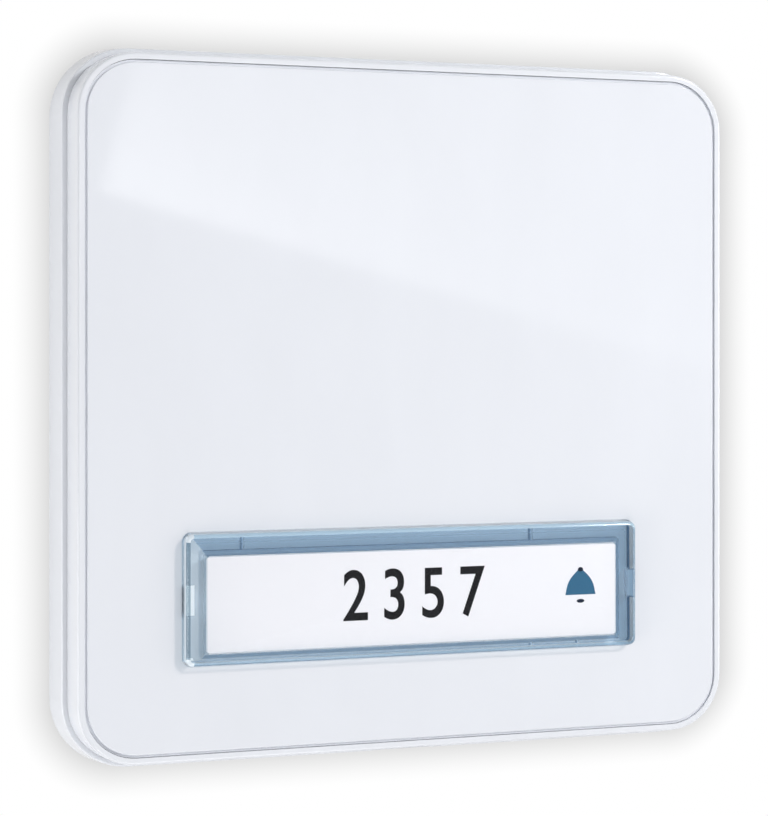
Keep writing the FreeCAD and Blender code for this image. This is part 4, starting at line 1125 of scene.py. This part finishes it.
@dataclass
class Electronics:
    """The circuit board with its switch, lamps, rectifier, resistors and wire terminals.

    Attributes:
        travel: how far the switch's plunger goes in; not used.
        disc_sheet: thickness of the snap disc.
        disc_rings: how many steps its dome has.
        disc_slack: how much less than the plunger's travel the disc is pressed in; not used.
        lamp_steps: where the lamps stand, along X.
        lamp_cup: depth of the cup in a lamp.
        leg_size: length and width of the soldered legs.
        tin: how far the tin reaches out round a leg.
        tin_height: how high it stands on the board.
        tin_slope: how much smaller the tin's top is than its foot, along each axis.
        chip_height: height of one resistor.
        chip_end: length of the tin cap on each of its ends.
        block_slope: how much smaller the rectifier's top is than its foot, along each axis.
        track_width: width of the board's tracks.
        track_lift: how far they stand out under the lacquer.
        tracks: where each track starts and ends along X, and where along Z, in millimetres.
    """

    travel: float = 1.0 * MM
    disc_sheet: float = 0.1 * MM
    disc_rings: int = 8
    disc_slack: float = 0.05 * MM
    lamp_steps: tuple[float, ...] = (-17.0 * MM, -8.0 * MM, 8.0 * MM, 17.0 * MM)
    lamp_cup: float = 0.5 * MM
    leg_size: tuple[float, float] = (1.0 * MM, 0.7 * MM)
    tin: float = 0.15 * MM
    tin_height: float = 0.13 * MM
    tin_slope: Point = (0.84, 1.0, 0.78)
    chip_height: float = 1.6 * MM
    chip_end: float = 0.45 * MM
    block_slope: Point = (0.92, 1.0, 0.92)
    track_width: float = 0.6 * MM
    track_lift: float = 0.035 * MM
    tracks: tuple[tuple[float, float, float, float], ...] = (
        (-19.8, -19.8, -3.8, -19.0), (-19.8, -16.6, -3.8, -3.8), (-19.8, -4.4, -19.0, -19.0),
        (-12.4, -9.4, -3.8, -3.8), (9.4, 10.8, -3.8, -3.8), (18.2, 19.8, -3.8, -3.8),
        (19.8, 19.8, -3.8, -19.0), (4.4, 19.8, -19.0, -19.0), (-15.0, -10.0, -23.0, -23.0),
        (10.0, 15.0, -23.0, -23.0), (-19.2, 19.2, -28.0, -28.0),
    )

    def build(self) -> None:
        """Dresses the board and builds the small parts on it."""
        dress(
            circuit_board=Look.BOARD, board_screws=Look.SCREW, switch_body=Look.SWITCH,
            switch_lid=Look.SNAP_STEEL, switch_plunger=Look.PLUNGER, terminal_plates=Look.BRASS,
            wire_clamps=Look.SCREW, terminal_screws=Look.BRASS,
        )
        self.build_tracks()
        self.build_disc()
        self.build_lamps()
        self.build_rectifier()
        self.build_resistors()
        for node in ("switch_legs", "rectifier_legs"):
            self.build_legs(node)

    def set_out(self, moves: list[Point], *parts: tuple[Workpiece, Look, str | None]) -> None:
        """Repeats a small part where its twins stand, and finishes its pieces.

        Args:
            moves: how far each twin stands from the first.
            parts: each piece, with its finish and the CAD node that it replaces, if there is one.
        """
        for piece, look, node in parts:
            piece.join([piece.copy(move) for move in moves])
            piece.finish("housing", look, node)

    def build_tracks(self) -> None:
        """Lays the board's tracks: flat strips with round ends and soft edges, under the same lacquer.

        Each strip stands out a little further than the one before, so that no two faces coincide.
        """
        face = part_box("circuit_board")[0].y
        grow = Vector((self.track_width / 2, 0.0, self.track_width / 2))
        strips = []
        for count, track in enumerate(self.tracks):
            left, right, start, end = (edge * MM for edge in track)
            low = Vector((left, face - self.track_lift - count * MICRON, min(start, end))) - grow
            strips.append(Workpiece.box(
                "board_tracks", low, Vector((right, face, max(start, end))) + grow,
                corners=(0.45 * self.track_width, 6), front=(0.6 * self.track_lift, 2),
            ))
        strips[0].join(strips[1:])
        strips[0].finish("housing", Look.TRACK)

    def build_legs(self, node: str) -> None:
        """Shapes four soldered legs, each a flat strip with soft edges in a sloping bed of tin.

        Args:
            node: the legs' node.
        """
        low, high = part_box(node)
        length, width = self.leg_size
        start = Vector((high.x - length, low.y, high.z - width))
        leg = Workpiece.box(f"{node}_tinned", start, high, corners=(0.15 * MM, 3), front=(0.06 * MM, 2))
        grow = Vector((self.tin, 0.0, self.tin))
        foot = Vector((start.x, high.y - self.tin_height, start.z)) - grow
        bed = Workpiece.box("bed", foot, high + grow, corners=(0.2 * MM, 3))
        with bed.editing():
            bed.pick("FACE", lambda middle, normal: normal.y < -0.99)
            bpy.ops.transform.resize(value=self.tin_slope, center_override=(start + high) / 2)
        leg.join([bed])
        across, down = low.x - start.x, low.z - start.z
        moves = [(0.0, 0.0, down), (across, 0.0, 0.0), (across, 0.0, down)]
        self.set_out(moves, (leg, Look.SOLDER, node))

    def build_resistors(self) -> None:
        """Shapes two chip resistors: a white body, a black glaze in front and a tin cap over each end."""
        low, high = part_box("series_resistors")
        top = low.z + self.chip_height
        inset = 0.04 * MM
        margin = 0.5 * MM
        start = low + Vector((2 * inset, inset, inset))
        end = Vector((high.x - 2 * inset, high.y, top - inset))
        body = Workpiece.box("resistor_bodies", start, end, front=(0.03 * MM, 2))
        start = low + Vector((margin, inset / 2, 3 * inset))
        end = Vector((high.x - margin, low.y + 2 * inset, top - 3 * inset))
        glaze = Workpiece.box("resistor_glazes", start, end, corners=(0.1 * MM, 3))
        end = Vector((low.x + self.chip_end, high.y, top))
        caps = Workpiece.box("resistor_caps", low, end, front=(0.05 * MM, 2))
        caps.join([caps.copy((high.x - low.x - self.chip_end, 0.0, 0.0))])
        self.set_out(
            [(0.0, 0.0, high.z - top)],
            (body, Look.LAMP, "series_resistors"), (glaze, Look.CHIP, None), (caps, Look.SOLDER, None),
        )

    def build_disc(self) -> None:
        """Shapes the snap disc at rest: a round sheet whose middle is raised in steps. The plunger presses
        it flat.
        """
        low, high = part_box("contact_disc")
        radius = (high.x - low.x) / 2 - self.disc_sheet
        rise = high.y - low.y - self.disc_sheet
        step = 1 / self.disc_rings
        start_shape()
        bpy.ops.mesh.primitive_circle_add(
            vertices=48, radius=radius, fill_type="NGON", rotation=UPRIGHT,
            location=((low.x + high.x) / 2, high.y, (low.z + high.z) / 2),
        )
        disc = Workpiece("snap_disc")
        with disc.editing("SELECT"):
            for ring in range(1, self.disc_rings):
                bpy.ops.mesh.inset(thickness=radius * step)
                share = 1 - ring * step
                dome = rise * ((share + step) ** 2 - share**2)
                bpy.ops.transform.translate(value=(0.0, -dome, 0.0))
        disc.apply("SOLIDIFY", thickness=self.disc_sheet, offset=1.0)
        disc.tidy()
        piece = disc.finish("housing", Look.SNAP_STEEL, "contact_disc")
        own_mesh(piece)

    def build_lamps(self) -> None:
        """Shapes a lamp with its cup, light yellow filling and end pads, and sets it down in each place."""
        low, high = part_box("backlight_lamps")
        first = self.lamp_steps[0]
        reach = first - low.x
        middle = Vector((first, low.y, (low.z + high.z) / 2))
        inset = Vector((0.1 * MM, 0.0, 0.0))
        end = Vector((first + reach, high.y, high.z))
        body = Workpiece.box(
            "lamp_bodies", low + inset, end - inset, corners=(0.25 * MM, 3), front=(0.12 * MM, 2)
        )
        body.combine(Workpiece.rod("cup", middle, 2 * self.lamp_cup, radius=0.95 * MM, tip=1.35 * MM))
        sunk = middle + Vector((0.0, 0.6 * self.lamp_cup, 0.0))
        filling = Workpiece.rod("lamp_fillings", sunk, 0.8 * self.lamp_cup, radius=1.0 * MM, tip=1.12 * MM)
        filling.round_end(low.y + 0.2 * self.lamp_cup, 0.1 * MM, 3)
        length, depth, margin = 0.5 * MM, 0.7 * MM, 0.3 * MM
        start = Vector((low.x, high.y - depth, low.z + margin))
        end = Vector((low.x + length, high.y, high.z - margin))
        pads = Workpiece.box("lamp_pads", start, end, front=(0.08 * MM, 2))
        pads.join([pads.copy((2 * reach - length, 0.0, 0.0))])
        self.set_out(
            [(place - first, 0.0, 0.0) for place in self.lamp_steps[1:]],
            (body, Look.LAMP, "backlight_lamps"), (filling, Look.PHOSPHOR, None), (pads, Look.SOLDER, None),
        )

    def build_rectifier(self) -> None:
        """Shapes the rectifier: a moulded block that narrows upwards, with a dimple at its first leg."""
        low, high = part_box("bridge_rectifier")
        block = Workpiece.box("rectifier_block", low, high)
        with block.editing():
            block.pick("FACE", lambda middle, normal: normal.y < -0.99)
            bpy.ops.transform.resize(value=self.block_slope, center_override=(low + high) / 2)
        block.round_end(low.y, 0.12 * MM, 3)
        spot = Vector((low.x + 1.0 * MM, low.y, high.z - 1.0 * MM))
        block.combine(Workpiece.rod("dimple", spot, 0.3 * MM, radius=0.35 * MM, tip=0.35 * MM))
        block.finish("housing", Look.CHIP, "bridge_rectifier")


@dataclass
class PhotoCamera:
    """The photo's view: a level camera in front of the plate and to its left.

    Attributes:
        place: where it stands, in metres.
        turn: how far it is turned to the right of straight ahead, in degrees.
        lens: focal length, in millimetres on a 36 mm sensor.
        drop: how far the picture's middle lies below the lens axis, as a share of its long side.
    """

    place: Point = (-0.09490, -0.26698, 0.00838)
    turn: float = 19.42
    lens: float = 97.34
    drop: float = 0.0855

    def build(self) -> None:
        """Adds the camera and makes it the scene's."""
        start_shape()
        bpy.ops.object.camera_add(
            location=self.place, rotation=(math.pi / 2, 0.0, -math.radians(self.turn))
        )
        camera = bpy.context.object
        camera.name = "photo_camera"
        camera.data.lens = self.lens
        camera.data.shift_y = -self.drop
        camera.data.clip_start = 0.01
        bpy.context.scene.camera = camera


@dataclass
class Studio:
    """A pale wall and floor, seven soft lamps, a softbox that mirrors in the face, and an even sky.

    Attributes:
        sky: how much light comes from all round, where 1 is white.
        sky_colour: its colour.
        mirrored_sky: how bright the surroundings are in mirrors.
        glazed_sky: how bright they are through the clear cap.
        lamps: the lamps' names, places, widths and powers in watts.
        wall_half: half the backdrop's width, in metres.
        wall_gap: how far the backdrop lies behind the plate.
        wall_edge: how far the plate reaches over the edge of the backdrop's opening.
        wall_corner: corner radius of that opening.
        floor_depth: how far the floor comes forward.
        shade_reach: how far from the plate the painted shadow on the backdrop reaches.
        shade_depth: how much darker the painted shadow makes it right beside the plate, 0 to 1.
        shade_curve: how fast that fades outwards, where 1 is evenly.
        shade_shift: how far that shade is drawn out to the right.
        box_size: the softbox's width and height.
        box_place: where its middle is.
        box_tilt: how far it is turned clockwise, seen from the plate, in degrees.
        box_bright: how much brighter than the mirrored surroundings its lower left corner is.
        box_falls: how fast that fades along its width and height.
    """

    sky: float = 0.20
    sky_colour: RGB = (0.97, 0.98, 1.0)
    mirrored_sky: float = 0.25
    glazed_sky: float = 0.60
    lamps: tuple[tuple[str, Point, float, float], ...] = (
        ("key_lamp", (0.275, -0.345, 0.23), 0.06, 1.36),
        ("eye_lamp", (-0.13, -0.36, 0.02), 0.10, 0.13),
        ("fill_lamp", (0.45, -0.25, 0.0), 0.25, 0.72),
        ("low_lamp", (0.0, -0.35, -0.35), 0.30, 0.55),
        ("flank_lamp", (-0.42, -0.12, -0.16), 0.25, 0.97),
        ("back_lamp", (-0.30, 0.45, 0.30), 0.30, 2.2),
        ("rear_lamp", (0.0, 0.50, 0.0), 0.30, 1.1),
    )
    wall_half: float = 0.6
    wall_gap: float = 0.1 * MM
    wall_edge: float = 0.1 * MM
    wall_corner: float = 8.6 * MM
    floor_depth: float = 1.2
    shade_reach: float = 4.7 * MM
    shade_depth: float = 0.28
    shade_curve: float = 1.5
    shade_shift: float = 3.6 * MM
    box_size: tuple[float, float] = (0.7, 0.5)
    box_place: Point = (0.554, -0.9, 0.237)
    box_tilt: float = 15.0
    box_bright: float = 2.4
    box_falls: tuple[float, float] = (2.2, 5.5)

    def build(self) -> None:
        """Builds the sky, the backdrop, the softbox and the lamps."""
        self.build_sky()
        self.build_backdrop()
        self.build_softbox()
        for name, place, width, watts in self.lamps:
            self.build_lamp(name, place, width, watts)

    def build_sky(self) -> None:
        """Lights everything evenly, looks white to the eye, and is dimmer in mirrors and through glass."""
        bpy.context.scene.world = bpy.data.worlds.new("studio_sky")
        sheet = NodeSheet(bpy.context.scene.world)
        total = sheet.filled("ShaderNodeBackground", Color=self.sky_colour, Strength=self.sky)
        strengths = {"Glossy": self.mirrored_sky, "Transmission": self.glazed_sky, "Camera": 1.0}
        for kind, strength in strengths.items():
            seen = sheet.filled("ShaderNodeBackground", Color=WHITE, Strength=strength)
            total = sheet.mix(sheet.ray(kind), total, seen)
        sheet.show(total)

    def shade(self, sheet: NodeSheet, half: float) -> Socket:
        """Works out how bright the backdrop looks, with a painted shadow set by the distance to the outline
        that the plate covers.

        Args:
            sheet: the backdrop's node sheet.
            half: half the plate's width.

        Returns:
            The brightness, 1 away from the plate.
        """
        spot = sheet.filled("ShaderNodeSeparateXYZ", Vector=sheet.place)
        squares = []
        for axis, middle in (("X", self.shade_shift / 2), ("Z", 0.0)):
            aside = sheet.maths("ABSOLUTE", sheet.maths("SUBTRACT", spot.outputs[axis], middle))
            beyond = sheet.maths("SUBTRACT", aside, half + middle - self.wall_corner)
            squares.append(sheet.maths("POWER", sheet.maths("MAXIMUM", beyond, 0.0), 2.0))
        distance = sheet.maths("SQRT", sheet.maths("ADD", *squares))
        distance = sheet.maths("SUBTRACT", distance, self.wall_corner)
        nearness = sheet.span(distance, low=1.0, high=0.0, start=0.0, end=self.shade_reach)
        depth = sheet.maths("MULTIPLY", sheet.maths("POWER", nearness, self.shade_curve), self.shade_depth)
        return sheet.maths("SUBTRACT", 1.0, depth)

    def backdrop_material(self, half: float) -> bpy.types.Material:
        """Makes a white surface with a painted shadow close to the plate, and that is see-through from
        behind.

        Args:
            half: half the plate's width.

        Returns:
            The material.
        """
        paper = bpy.data.materials.new("backdrop_paper")
        sheet = NodeSheet(paper)
        matt = sheet.filled("ShaderNodeBsdfDiffuse", Color=(0.9, 0.9, 0.9))
        # painted shadow: the backdrop's seen brightness falls near the plate's outline and is drawn out to
        # the right
        white = sheet.filled("ShaderNodeEmission", Strength=self.shade(sheet, half))
        front = sheet.mix(sheet.ray("Diffuse"), white, matt)
        clear = sheet.filled("ShaderNodeBsdfTransparent", Color=WHITE)
        sheet.show(sheet.mix(sheet.node("ShaderNodeNewGeometry").outputs["Backfacing"], front, clear))
        return paper

    def build_backdrop(self) -> None:
        """Builds the wall round the plate, open behind it so that its back is lit, and the floor below."""
        low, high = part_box("rear_housing")
        plate = (high.x - low.x) / 2
        half = plate - self.wall_edge
        start_shape()
        bpy.ops.mesh.primitive_plane_add(size=2 * half, location=(0.0, self.wall_gap, 0.0), rotation=UPRIGHT)
        wall = Workpiece("backdrop")
        growth = self.wall_half / half
        with wall.editing("SELECT"):
            bpy.ops.mesh.bevel(offset=self.wall_corner, segments=12, affect="VERTICES")
            bpy.ops.mesh.extrude_region_move()
            bpy.ops.transform.resize(value=(growth, 1.0, growth))
            wall.pick("FACE", lambda middle, normal: abs(middle.x) < MM and abs(middle.z) < MM)
            bpy.ops.mesh.delete(type="FACE")
            bpy.ops.mesh.select_all(action="SELECT")
            bpy.ops.mesh.flip_normals()
            wall.pick("EDGE", lambda middle, along: middle.z < MM - self.wall_half)
            wall.push(-self.floor_depth)
        wall.object.data.materials.append(self.backdrop_material(plate))

    def build_softbox(self) -> None:
        """Hangs the softbox. Only mirrors see it, brightest at its lower left corner."""
        start_shape()
        bpy.ops.mesh.primitive_plane_add(
            size=1.0, location=self.box_place, rotation=(math.pi / 2, math.radians(self.box_tilt), 0.0)
        )
        bpy.ops.transform.resize(value=(*self.box_size, 1.0), orient_type="LOCAL")
        box = Workpiece("softbox")
        cloth = bpy.data.materials.new("softbox_cloth")
        sheet = NodeSheet(cloth)
        across = sheet.filled("ShaderNodeSeparateXYZ", Vector=sheet.node("ShaderNodeUVMap").outputs["UV"])
        falls = [
            sheet.maths("POWER", sheet.maths("SUBTRACT", 1.0, across.outputs[axis]), steepness)
            for axis, steepness in zip("XY", self.box_falls)
        ]
        extra = sheet.maths("MULTIPLY", sheet.maths("MULTIPLY", *falls), self.box_bright)
        glow = sheet.filled(
            "ShaderNodeEmission", Color=WHITE, Strength=sheet.maths("ADD", extra, self.mirrored_sky)
        )
        clear = sheet.filled("ShaderNodeBsdfTransparent", Color=WHITE)
        sheet.show(sheet.mix(sheet.ray("Glossy"), clear, glow))
        cloth.cycles.emission_sampling = "NONE"
        box.object.data.materials.append(cloth)

    def build_lamp(self, name: str, place: Point, width: float, watts: float) -> None:
        """Adds a soft, square lamp that is aimed at the plate.

        Args:
            name: the lamp's name.
            place: where it stands.
            width: its width.
            watts: its power.
        """
        start_shape()
        turn = Vector(place).to_track_quat("Z", "Y").to_euler()
        bpy.ops.object.light_add(type="AREA", location=place, rotation=turn)
        lamp = bpy.context.object
        lamp.name = name
        lamp.data.shape = "RECTANGLE"
        lamp.data.size = width
        lamp.data.size_y = width
        lamp.data.energy = watts
        lamp.visible_camera = False


def main() -> None:
    """Builds the camera, the studio and every sub-assembly, in order."""
    logging.basicConfig(level=logging.INFO)
    bpy.context.scene.view_settings.view_transform = "Standard"
    for part in (PhotoCamera(), Studio(), Casing(), PushCap(), Card(), Electronics()):
        part.build()
        log.info("built %s", type(part).__name__)


if __name__ == "__main__":
    main()
